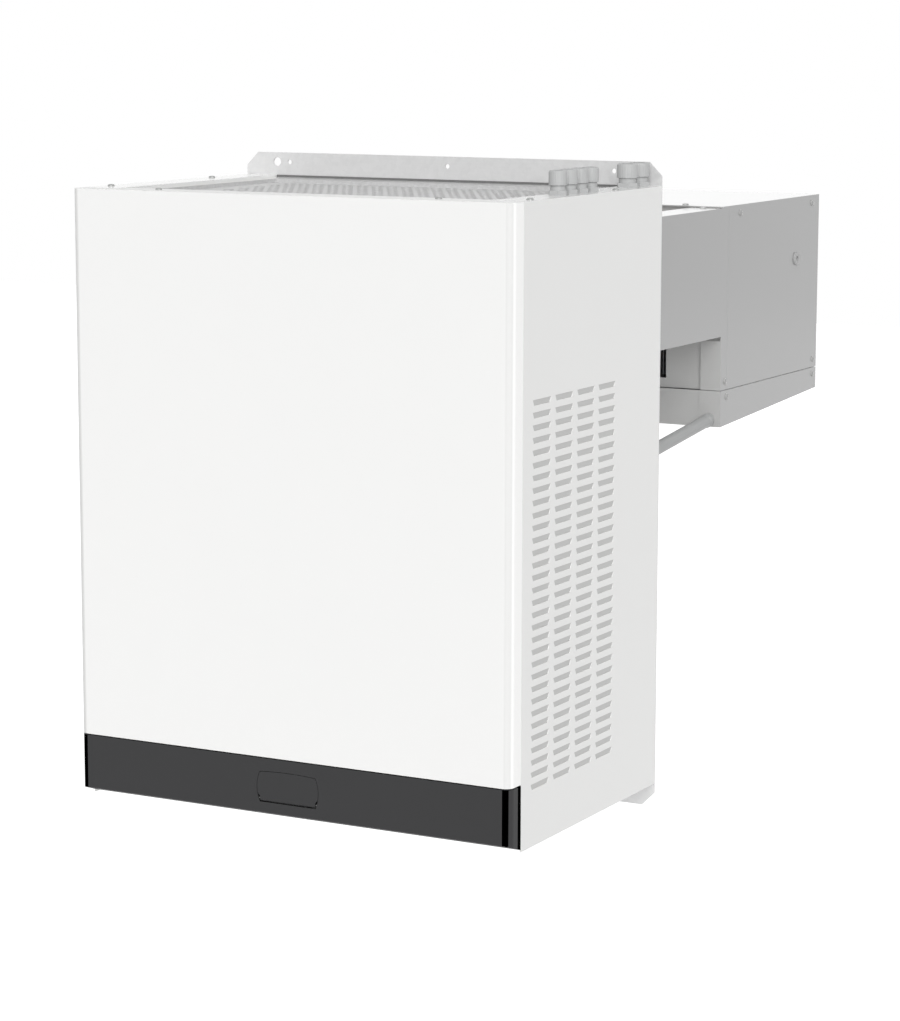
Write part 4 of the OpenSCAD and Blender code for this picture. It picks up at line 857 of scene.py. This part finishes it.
def louvre_blade(middle_y, middle_z):
    """The blade behind the slot with this middle."""
    def point_at(down, along):
        """down runs from 0 at the upper edge to 1 at the lip, along from -1 to 1 over the slot."""
        half = LOUVRE_W / 2 * (1 - (1 - LOUVRE_LOWER_SHARE) * down) - LOUVRE_GAP
        height = (LOUVRE_H - 2 * LOUVRE_GAP) * (0.5 - down)
        return Vector((X_SIDE - between(LOUVRE_DEPTH, down), middle_y + along * half, middle_z + height))

    steps_along, steps_down = LOUVRE_STEPS
    downs = [i / steps_down for i in range(steps_down + 1)]
    alongs = [-1 + 2 * i / steps_along for i in range(steps_along + 1)]
    return sheet_shape(surface(point_at, downs, alongs), LOUVRE_SHEET)


print("casing's side at x", X_SIDE, "and front at y", FRONT_Y)

# %% [markdown]
# ## The field of louvres
#
# One tool presses all louvres of a panel, a column at a time, so their pitch is exact. The
# blades repeat the slots' columns and rows, counted from the casing's front and bottom. The
# left panel is the mirror image of the right one.

# %% Louvre field
LOUVRE_COLUMNS = 4
LOUVRE_ROWS = 32
LOUVRE_PITCH = (56.3, 14.2)
# Middle of the first slot, counted from the casing's front and bottom.
LOUVRE_FIRST = (74.2, 70.0)


def louvre_blades():
    """All blades of the right side panel."""
    blades = []
    for column in range(LOUVRE_COLUMNS):
        for row in range(LOUVRE_ROWS):
            y = FRONT_Y + LOUVRE_FIRST[0] + column * LOUVRE_PITCH[0]
            z = BOTTOM_Z + LOUVRE_FIRST[1] + row * LOUVRE_PITCH[1]
            blades.append(louvre_blade(y, z))
    return joined(blades)


def mirrored(shape):
    """The shape mirrored in X, with its faces turned back the right way."""
    points, polygons = shape
    return [Vector((-p.x, p.y, p.z)) for p in points], [tuple(reversed(f)) for f in polygons]


right_blades = louvre_blades()
left_blades = mirrored(right_blades)
piece("louvre_blades_right", right_blades, louvre_painted_shade_coat, "casing", smooth_deg=40)
piece("louvre_blades_left", left_blades, louvre_painted_shade_coat, "casing", smooth_deg=40)

# %% [markdown]
# ## The body of a cable gland
#
# A gland is three turned or moulded parts on one axis: a hexagon that a spanner grips, a plain
# neck, and a cap that is tightened over a rubber seal. Under the sheet a nut holds it. The
# hexagon and the nut come off the lathe too, once its radius follows six flats. A narrow gap
# with the thread in it parts the neck from the cap, and shows as a dark ring.

# %% Gland bodies
GLAND_HEX_H = 5.5
GLAND_HEX_OVER = 0.7
GLAND_HEX_CHAMFER = 0.6
GLAND_NECK_H = 6.0
GLAND_NECK_SHARE = 0.82
GLAND_GAP_H = 1.2
GLAND_TAIL = 6.5
# Lower and upper face of the nut, below the sheet that the gland sits on.
GLAND_NUT = (-5.5, -1.5)
GLAND_STEPS = 96
CAP_Z = GLAND_HEX_H + GLAND_NECK_H


def outer_hexagon(bore_r):
    """Six flats on each radius beyond the bore's, whose corners reach that radius."""
    def radius_at(radius, angle):
        part = (angle + math.pi / 6) % (math.pi / 3) - math.pi / 6
        corner = radius * math.cos(math.pi / 6) / math.cos(math.pi / 6 - abs(part))
        return corner if radius > bore_r + AXIS_R else radius
    return radius_at


def gland_body(bore, thread_r, cap_r):
    """Hexagon, neck, tail and nut of one gland, which sits on the sheet at height 0."""
    hex_r, neck_r = cap_r + GLAND_HEX_OVER, cap_r * GLAND_NECK_SHARE
    edge_r, edge_z = hex_r - GLAND_HEX_CHAMFER, GLAND_HEX_H - GLAND_HEX_CHAMFER
    gap_z, tail_z = CAP_Z - GLAND_GAP_H, -GLAND_TAIL
    nut_low, nut_high = GLAND_NUT
    hexagon = [(bore, 0), (hex_r, 0), (hex_r, edge_z), (edge_r, GLAND_HEX_H), (bore, GLAND_HEX_H)]
    neck = [(bore, GLAND_HEX_H), (neck_r, GLAND_HEX_H), (neck_r, gap_z), (thread_r, gap_z),
            (thread_r, CAP_Z), (bore, CAP_Z)]
    tail = [(bore, tail_z), (thread_r, tail_z), (thread_r, 0), (bore, 0)]
    nut = [(thread_r, nut_low), (cap_r, nut_low), (cap_r, nut_high), (thread_r, nut_high)]
    return joined([lathe_shape(hexagon, GLAND_STEPS, outer_hexagon(bore)), lathe_shape(neck, GLAND_STEPS),
                   lathe_shape(tail, GLAND_STEPS), lathe_shape(nut, GLAND_STEPS, outer_hexagon(thread_r))])


print("a gland's cap starts", CAP_Z, "mm above the sheet")

# %% [markdown]
# ## Caps and seals of the glands
#
# The cap has shallow flutes for fingers, which on the lathe are a small wave of the radius. Its
# crown is rounded in three short steps. The rubber seal fills the cap and is led in from above,
# so that a cable finds its way.

# %% Gland caps, seals and rows
# From the casing's side to the axes of the glands.
GLAND_IN = 23.5
GLAND_CAP_H = 17.0
CAP_EDGE = 0.4
CAP_CROWN = ((0.0, 2.4), (0.5, 1.0), (1.3, 0.3), (2.4, 0.0))
CAP_FLUTES = 24
CAP_FLUTE_DEPTH = 0.35
SEAL_WALL = 2.5
SEAL_BELOW = 1.0
SEAL_LEAD = (0.8, 1.0)
GLAND_TOP = CAP_Z + GLAND_CAP_H
SMALL_GLAND = {"cap_d": 21.0, "thread_d": 16.0, "bore_r": 4.0, "y": (-151.0, -179.0, -207.0, -235.0)}
LARGE_GLAND = {"cap_d": 25.0, "thread_d": 20.0, "bore_r": 5.0, "y": (-16.0, -49.0)}


def fluted(radius, angle):
    """The radius with a wave of shallow flutes."""
    return radius - CAP_FLUTE_DEPTH * (0.5 - 0.5 * math.cos(angle * CAP_FLUTES))


def gland_cap(bore, cap_r):
    """A fluted cap with a rounded crown. CAP_CROWN holds steps (inward, below the top)."""
    seal_r = bore + SEAL_WALL
    skirt = [(seal_r, CAP_Z), (cap_r - CAP_EDGE, CAP_Z), (cap_r, CAP_Z + CAP_EDGE)]
    crown = [(cap_r - inward, GLAND_TOP - below) for inward, below in CAP_CROWN]
    return lathe_shape(skirt + crown + [(seal_r, GLAND_TOP)], GLAND_STEPS, fluted)


def gland_seal(bore):
    """The rubber ring in the cap."""
    seal_r, seal_top = bore + SEAL_WALL, GLAND_TOP - SEAL_BELOW
    lead_r, lead_z = bore + SEAL_LEAD[0], seal_top - SEAL_LEAD[1]
    return lathe_shape([(bore, CAP_Z), (seal_r, CAP_Z), (seal_r, seal_top), (lead_r, seal_top),
                        (bore, lead_z)], GLAND_STEPS)


def gland_row(node, kind):
    """Shells and seals of all glands of one kind, in the place of their node."""
    bore, thread_r, cap_r = kind["bore_r"], kind["thread_d"] / 2, kind["cap_d"] / 2
    places = [Matrix.Translation((X_SIDE - GLAND_IN, y, TOP_Z)) for y in kind["y"]]
    parts = (gland_body(bore, thread_r, cap_r), gland_cap(bore, cap_r))
    shells = joined([moved(part, place) for place in places for part in parts])
    seals = joined([moved(gland_seal(bore), place) for place in places])
    piece(node + "_bodies_and_caps", shells, gland_nylon, "casing", smooth_deg=35, replaced=(node,))
    piece(node + "_seals", seals, rubber, "casing", smooth_deg=35)


gland_row("small_glands", SMALL_GLAND)
gland_row("large_glands", LARGE_GLAND)

# %% [markdown]
# ## The head of a screw
#
# A pan head is a low dome with a cross recess. The dome is a disc of rings whose height follows
# the dome, and drops where a point falls inside the cross. That needs no boolean cut, and the
# rings can lie close together where the recess ends.

# %% Screw heads
SCREW_HEAD_R = 4.0
SCREW_HEAD_H = 2.2
DOME_DROP_SHARE = 0.45
RECESS_REACH = 2.3
RECESS_HALF_W = 0.6
RECESS_DEPTH = 1.1
RECESS_RISE_SHARE = 0.4
SCREW_STEPS = 48
SCREW_RINGS = (0.35, 0.7, 1.1, 1.6, 2.0, 2.3, 2.5, 3.0, 3.5, 3.9, SCREW_HEAD_R)


def head_height(x, y):
    """Height of the pan head above the sheet at a point, with the cross cut in."""
    reach = math.hypot(x, y)
    dome = SCREW_HEAD_H * (1 - (reach / SCREW_HEAD_R) ** 4 * DOME_DROP_SHARE)
    in_arm = min(abs(x), abs(y)) < RECESS_HALF_W and reach < RECESS_REACH
    return dome - RECESS_DEPTH * (1 - RECESS_RISE_SHARE * reach / RECESS_REACH) if in_arm else dome


def screw_head():
    """A closed head: the top as rings of points, a skirt and a flat underside."""
    points = [Vector((0, 0, head_height(0, 0)))]
    polygons = []
    for ring, radius in enumerate(SCREW_RINGS):
        for step in range(SCREW_STEPS):
            angle = turned(step, SCREW_STEPS)
            x, y = radius * math.cos(angle), radius * math.sin(angle)
            points.append(Vector((x, y, head_height(x, y))))
            after = (step + 1) % SCREW_STEPS
            if ring == 0:
                polygons.append((0, 1 + step, 1 + after))
            else:
                inner = 1 + (ring - 1) * SCREW_STEPS
                outer = inner + SCREW_STEPS
                polygons.append((inner + step, outer + step, outer + after, inner + after))
    rim = 1 + (len(SCREW_RINGS) - 1) * SCREW_STEPS
    under = len(points)
    for step in range(SCREW_STEPS):
        angle = turned(step, SCREW_STEPS)
        points.append(Vector((SCREW_HEAD_R * math.cos(angle), SCREW_HEAD_R * math.sin(angle), 0)))
        after = (step + 1) % SCREW_STEPS
        polygons.append((rim + step, under + step, under + after, rim + after))
    polygons.append(tuple(under + step for step in reversed(range(SCREW_STEPS))))
    return points, polygons


print("recess is", RECESS_DEPTH, "mm deep in a head of", SCREW_HEAD_H, "mm")

# %% [markdown]
# ## Screws in their sheets
#
# The sheets are joined by pan head screws that bite into spring clips behind them. Each screw
# gets its shank and clip as well, so that nothing ends in the air inside the sheets. The screws
# on the coated evaporator are painted over, so they keep its colour. Where two sheets lap, the
# clip sits one sheet deeper.

# %% Screws
SHANK_R = 2.1
SHANK_L = 9.0
SHANK_TIP_SHARE = 0.4
SHANK_TIP_L = 2.0
CLIP_W = 9.0
CLIP_T = 2.5
SHEET = 1.5
CASING_SCREWS = ((186.0, -366.0), (280.0, -326.9), (280.0, -105.1))
# One screw in the neck and one in the evaporator's top cover, each with its mirror image.
TOP_SCREWS = ((260.5, 194.0, 329.5), (225.0, 219.4, 331.5))
ONE_SHEET_YZ = ((222.1, 108.5), (264.0, 321.0), (228.0, 88.5), (521.5, 88.5))
TWO_SHEET_YZ = ((509.0, 321.0), (521.5, 108.5))
INTO_RIGHT_SIDE = Matrix.Rotation(math.pi / 2, 4, "Y")
INTO_LEFT_SIDE = Matrix.Rotation(-math.pi / 2, 4, "Y")
X_EVAP = box_mm("evap_right_panel")[1][0]


def screw_shape(sheets):
    """Head, shank and clip of one screw that points down, its head seated at the origin."""
    shank = lathe_shape([(AXIS_R, -SHANK_L), (SHANK_R * SHANK_TIP_SHARE, -SHANK_L),
                         (SHANK_R, -SHANK_L + SHANK_TIP_L), (SHANK_R, 0), (AXIS_R, 0)])
    half, clip_z = CLIP_W / 2, -sheets * SHEET
    clip = box_shape((-half, -half, clip_z - CLIP_T), (half, half, clip_z))
    return joined([screw_head(), shank, clip])


def casing_screws():
    """Screws that point down into the casing's level border."""
    screw = screw_shape(1)
    places = [Matrix.Translation((side * x, y, TOP_Z)) for side in (-1, 1) for x, y in CASING_SCREWS]
    return joined([moved(screw, place) for place in places])


def evaporator_screws():
    """Screws in the neck, the top cover and the side panels."""
    thin, thick = screw_shape(1), screw_shape(2)
    shapes = []
    for side, turn in ((1, INTO_RIGHT_SIDE), (-1, INTO_LEFT_SIDE)):
        shapes += [moved(thin, Matrix.Translation((side * x, y, z))) for x, y, z in TOP_SCREWS]
        for screw, places in ((thin, ONE_SHEET_YZ), (thick, TWO_SHEET_YZ)):
            shapes += [moved(screw, Matrix.Translation((side * X_EVAP, y, z)) @ turn) for y, z in places]
    return joined(shapes)


piece("casing_screw_set", casing_screws(), zinc_plate, "casing", smooth_deg=30,
      replaced=("casing_screws",))
piece("evaporator_screw_set", evaporator_screws(), grey_coat, "casing", smooth_deg=30,
      replaced=("evap_screws",))

# %% [markdown]
# ## Fan blades
#
# The fans are moulded in one piece: a cupped hub, and blades that are twisted, curved in
# section and swept forward. The twist gives each part of the blade the same lift, since the
# tip moves faster than the root. Each blade is a surface over the span and the chord, with a
# little camber, and its tips are rounded off.

# %% One fan blade
BLADE_T = 2.0
BLADE_IN_HUB = 1.0
BLADE_PITCH_DEG = (40.0, 23.0)
BLADE_CHORD_SHARES = (0.55, 0.80)
BLADE_CAMBER = 0.09
BLADE_SWEEP_DEG = 14.0
BLADE_ROUND_SHARE = 0.10
BLADE_GRID = (10, 12)


def blade_place(fan, spin, across, along):
    """A point of the blade's middle surface: across runs 0 to 1 over the span, along -0.5 to 0.5."""
    root, tip = fan["hub_d"] / 2 - BLADE_IN_HUB, fan["d"] / 2
    radius = between((root, tip), across)
    pitch = math.radians(between(BLADE_PITCH_DEG, across))
    chord = tip * between(BLADE_CHORD_SHARES, across)
    chord = min(chord, (fan["h"] - 2 * BLADE_T) / math.sin(pitch))
    bow = BLADE_CAMBER * chord * (1 - 4 * along ** 2)
    run = along * chord * math.cos(pitch) - bow * math.sin(pitch)
    rise = along * chord * math.sin(pitch) + bow * math.cos(pitch)
    rise -= BLADE_CAMBER * chord * 0.5 * math.cos(pitch)
    round_off = 1 - BLADE_ROUND_SHARE * across * (2 * abs(along)) ** 4
    angle = spin + run / radius + math.radians(BLADE_SWEEP_DEG) * across ** 2
    reach = root + (radius - root) * round_off
    return Vector((reach * math.cos(angle), reach * math.sin(angle), fan["h"] / 2 + rise))


def fan_blade(fan, spin):
    """One closed blade, turned by spin about the fan's axis."""
    def point_at(across, along):
        return blade_place(fan, spin, across, along)

    spans, chords = BLADE_GRID
    acrosses = [i / spans for i in range(spans + 1)]
    alongs = [i / chords - 0.5 for i in range(chords + 1)]
    return sheet_shape(surface(point_at, acrosses, alongs), BLADE_T)


print("a blade has", BLADE_GRID[0] * BLADE_GRID[1], "fields on each side")

# %% [markdown]
# ## Whole fans
#
# The hub is a cup, moulded round the end of a steel shaft, with the blades set at even angles.
# Each fan stands where its solid does. One blade of the solid ends straight along X, so the
# axis lies one tip radius from that end of its box, and the hub's foot one hub height below
# its face.

# %% Fans
BLADES = 5
HUB_CHAMFER = 1.5
HUB_FLOOR_SHARE = 0.55
HUB_STEPS = 64
SHAFT_IN_HUB = 0.2
CONDENSER_FAN = {"d": 280.0, "hub_d": 78.0, "h": 34.0, "shaft_d": 8.0, "shaft_l": 34.7}
ROOM_FAN = {"d": 196.0, "hub_d": 58.0, "h": 24.0, "shaft_d": 6.0, "shaft_l": 30.7}
UPRIGHT = Matrix.Identity(4)
ALONG_Y = Matrix.Rotation(-math.pi / 2, 4, "X")


def fan_shape(fan):
    """Hub, shaft and blades about Z, the hub standing on the ground."""
    r, h = fan["hub_d"] / 2, fan["h"]
    inner_r, floor_z = r - 2 * BLADE_T, HUB_FLOOR_SHARE * h
    hub = lathe_shape([(AXIS_R, 0), (r - HUB_CHAMFER, 0), (r, HUB_CHAMFER), (r, h), (inner_r, h),
                       (inner_r, floor_z), (AXIS_R, floor_z)], HUB_STEPS)
    shaft_r, shaft_z = fan["shaft_d"] / 2, -fan["shaft_l"]
    shaft = lathe_shape([(AXIS_R, shaft_z), (shaft_r, shaft_z), (shaft_r, SHAFT_IN_HUB),
                         (AXIS_R, SHAFT_IN_HUB)])
    return joined([hub, shaft] + [fan_blade(fan, turned(i, BLADES)) for i in range(BLADES)])


def fan_foot(node, fan, axis):
    """Where the hub of a fan's solid stands, for an axis of Y (1) or Z (2)."""
    low, high = box_mm(node)
    foot = [(a + b) / 2 for a, b in zip(low, high)]
    foot[0] = high[0] - fan["d"] / 2
    foot[axis] = high[axis] - fan["h"]
    return foot


def fan_piece(node, fan, foot, turn, body):
    """A fan in the place of its node."""
    shape = moved(fan_shape(fan), Matrix.Translation(foot) @ turn)
    piece(node + "_moulding", shape, black_plastic, body, smooth_deg=35, replaced=(node,))


fan_piece("condenser_fan", CONDENSER_FAN, fan_foot("condenser_fan", CONDENSER_FAN, 2), UPRIGHT,
          "condenser_fan")
room_feet = [fan_foot(node, ROOM_FAN, 1) for node in ("evap_fan_left", "evap_fan_right")]
fan_piece("evap_fan_left", ROOM_FAN, room_feet[0], ALONG_Y, "room_fan_left")
fan_piece("evap_fan_right", ROOM_FAN, room_feet[1], ALONG_Y, "room_fan_right")

# %% [markdown]
# ## Fan guards
#
# A guard is welded from steel wire of 2 mm: rings on a cross of four spokes, whose ends bend
# back to the sheet as feet. Wire is round, which shows as a thin light line along each ring, so
# each ring is a lathed circle and each spoke a round rod. The weld makes rings and spokes meet.

# %% Guards
GUARD_RINGS = 6
GUARD_SPOKES = 4
GUARD_REACH = 107.0
# How far the guard stands off the fan plate.
GUARD_OUT = 6.0
WIRE_R = 1.0
WIRE_STEPS = 8
RING_STEPS = 72
SPOKE_STEPS = 10
SPOKE_BELOW_SHARE = 1.6
GUARD_FACE_Y = box_mm("fan_guards")[0][1]


def wire_ring(radius, height):
    """A ring of round wire about Z."""
    angles = [turned(i, WIRE_STEPS) for i in range(WIRE_STEPS)]
    section = [(radius + WIRE_R * math.cos(a), height + WIRE_R * math.sin(a)) for a in angles]
    return lathe_shape(section, RING_STEPS)


def guard_shape():
    """Guard about Z, its feet on the ground."""
    step = GUARD_REACH / GUARD_RINGS
    ring_z = GUARD_OUT - WIRE_R
    lift = Vector((0, 0, ring_z - SPOKE_BELOW_SHARE * WIRE_R))
    parts = [wire_ring((i + 1) * step - WIRE_R, ring_z) for i in range(GUARD_RINGS)]
    for spoke in range(GUARD_SPOKES):
        angle = turned(spoke + 0.5, GUARD_SPOKES)
        ray = Vector((math.cos(angle), math.sin(angle), 0))
        inner, outer = ray * (step / 2), ray * (GUARD_REACH + WIRE_R)
        parts.append(rod_shape(inner + lift, outer + lift, WIRE_R, SPOKE_STEPS))
        parts.append(rod_shape(outer + lift, outer, WIRE_R, SPOKE_STEPS))
    return joined(parts)


guard_places = [Matrix.Translation((x, GUARD_FACE_Y, z)) @ ALONG_Y for x, _, z in room_feet]
guards = joined([moved(guard_shape(), place) for place in guard_places])
piece("wire_guards", guards, black_enamel, "casing", smooth_deg=40, replaced=("fan_guards",))

# %% [markdown]
# ## Finned coils
#
# A coil is a stack of thin aluminium fins threaded on copper tubes between two steel end
# plates. Fins are only 0.15 mm thick in the real coil and stand about 2 mm apart. Here they are
# drawn 0.4 mm thick and 4 mm apart, so that they still read as fins. Each fin is one box, and
# the tubes run right through. A bend joins two tubes on the end plate, so tubes come in pairs.

# %% Coil makers
FIN_T = 0.4
FIN_PITCH = 4.0
END_PLATE_T = 2.0
TUBE_R = 4.75
TUBE_STEPS = 16
BEND_R = 12.5


def fin_stack(low, high):
    """Fins between the end plates, at the even pitch that comes nearest to FIN_PITCH."""
    inner = high[0] - low[0] - 2 * END_PLATE_T
    count = int(inner / FIN_PITCH)
    pitch = inner / count
    fins = []
    for i in range(count):
        x = low[0] + END_PLATE_T + (i + 0.5) * pitch
        fins.append(box_shape((x - FIN_T / 2, low[1], low[2]), (x + FIN_T / 2, high[1], high[2])))
    return joined(fins)


def tube_pairs(start, bends, first):
    """Places of tubes along a coil. Bends stand two widths apart, from the given number of widths on."""
    return [start + (2 * i + first) * 2 * BEND_R + side * BEND_R for i in range(bends) for side in (-1, 1)]


def coil(name, node, fins_low, fins_high, plates_z, tubes):
    """Fins, end plates and tubes in the place of a coil's node."""
    ends = [fins_low[0] + END_PLATE_T, fins_high[0] - END_PLATE_T]
    plates = [box_shape((x, fins_low[1], plates_z[0]), (x + END_PLATE_T, fins_high[1], plates_z[1]))
              for x in (fins_low[0], ends[1])]
    rods = [rod_shape(Vector((ends[0], y, z)), Vector((ends[1], y, z)), TUBE_R, TUBE_STEPS)
            for y, z in tubes]
    piece(name + "_fins", fin_stack(fins_low, fins_high), fin_stock, "casing", replaced=(node,))
    piece(name + "_end_plates", joined(plates), galvanised, "casing")
    piece(name + "_tubes", joined(rods), copper, "casing", smooth_deg=40)


print("fins are", FIN_T, "mm thick and", FIN_PITCH, "mm apart")

# %% [markdown]
# ## The two coils
#
# The condenser lies flat under the grille, and its end plates stand on the fan deck as legs.
# The evaporator stands upright behind its two fans, and its end plates are taller than its
# fins. Both take their size from their solids. Their tubes lie in rows that share the coil's
# depth equally.

# %% Coils
CONDENSER_LEG = 20.0
CONDENSER_ROWS = 2
CONDENSER_BENDS = 4
# Where a coil's first bend lies, in widths of a bend from the edge of its fins.
CONDENSER_FIRST = 2.2
# How far the end plates reach past the fins, below and above.
EVAP_PLATE_OVER = (11.6, 12.0)
EVAP_ROWS = 3
EVAP_BENDS = 3
EVAP_FIRST = 1.5


def condenser_coil():
    """The flat coil, whose fins end one leg above the deck."""
    low, high = box_mm("condenser_coil")
    fins_low = (low[0], low[1], low[2] + CONDENSER_LEG)
    row_h = (high[2] - fins_low[2]) / CONDENSER_ROWS
    tubes = [(y, fins_low[2] + row_h * (row + 0.5)) for row in range(CONDENSER_ROWS)
             for y in tube_pairs(low[1], CONDENSER_BENDS, CONDENSER_FIRST)]
    coil("condenser", "condenser_coil", fins_low, high, (low[2], high[2]), tubes)


def evaporator_coil():
    """The upright coil, between its two tall end plates."""
    low, high = box_mm("evap_coil")
    fins_low = (low[0], low[1], low[2] + EVAP_PLATE_OVER[0])
    fins_high = (high[0], high[1], high[2] - EVAP_PLATE_OVER[1])
    row_d = (high[1] - low[1]) / EVAP_ROWS
    tubes = [(low[1] + row_d * (row + 0.5), z) for row in range(EVAP_ROWS)
             for z in tube_pairs(fins_low[2], EVAP_BENDS, EVAP_FIRST)]
    coil("evaporator", "evap_coil", fins_low, fins_high, (low[2], high[2]), tubes)


condenser_coil()
evaporator_coil()

# %% [markdown]
# ## The tray's folded corner
#
# The drip tray is folded from one sheet. At each front corner the side wall ends in a tab that
# laps over the front wall, and its edge shows as a fine upright line. The tab is a millimetre
# of coated sheet, so it is a flat box on the front wall.

# %% Corner tabs of the tray
TAB_W = 29.5
TAB_T = 1.0
# How far the tab stays inside the tray's side and its upper and lower edge.
TAB_SIDE_IN = 0.2
TAB_EDGE_IN = 0.5
tray_low, tray_high = box_mm("drip_tray")


def corner_tab(side):
    """The tab of the right (1) or left (-1) front corner."""
    ends = sorted((side * (tray_high[0] - TAB_SIDE_IN), side * (tray_high[0] - TAB_W)))
    return box_shape((ends[0], tray_low[1] - TAB_T, tray_low[2] + TAB_EDGE_IN),
                     (ends[1], tray_low[1], tray_high[2] - TAB_EDGE_IN))


tabs = joined([corner_tab(-1), corner_tab(1)])
piece("tray_corner_tabs", tabs, grey_coat, "casing")

# %% [markdown]
# ## A painted shadow strip behind the grille
#
# The grille is a loose tray in the casing's open top. A thin grey strip on the wall plate,
# along the grille's far edge, is painted shadow: it stands for the shade in the gap between
# grille and plate, and shows as a dark line above the grille's far edge.

# %% Painted shadow strip
SHADOW_STRIP_T = 1.7
SHADOW_STRIP_H = 2.4
grille_low, grille_high = box_mm("top_grille")
shadow_strip_back = box_mm("wall_plate")[0][1]
# A grey box on the wall plate, as painted shadow of the gap behind the grille.
shadow_strip_box = box_shape((grille_low[0], shadow_strip_back - SHADOW_STRIP_T, TOP_Z - SHADOW_STRIP_H), (grille_high[0], shadow_strip_back, TOP_Z))
piece("grille_painted_shadow_strip", shadow_strip_box, shadow_strip_coat, "casing")
print("painted shadow strip lies on the plate at y", shadow_strip_back, "mm")

# %% [markdown]
# ## The last update
#
# The finish and the added pieces must not change the unit's size. The last step brings the
# view layer up to date.

# %% Update the view layer
bpy.context.view_layer.update()
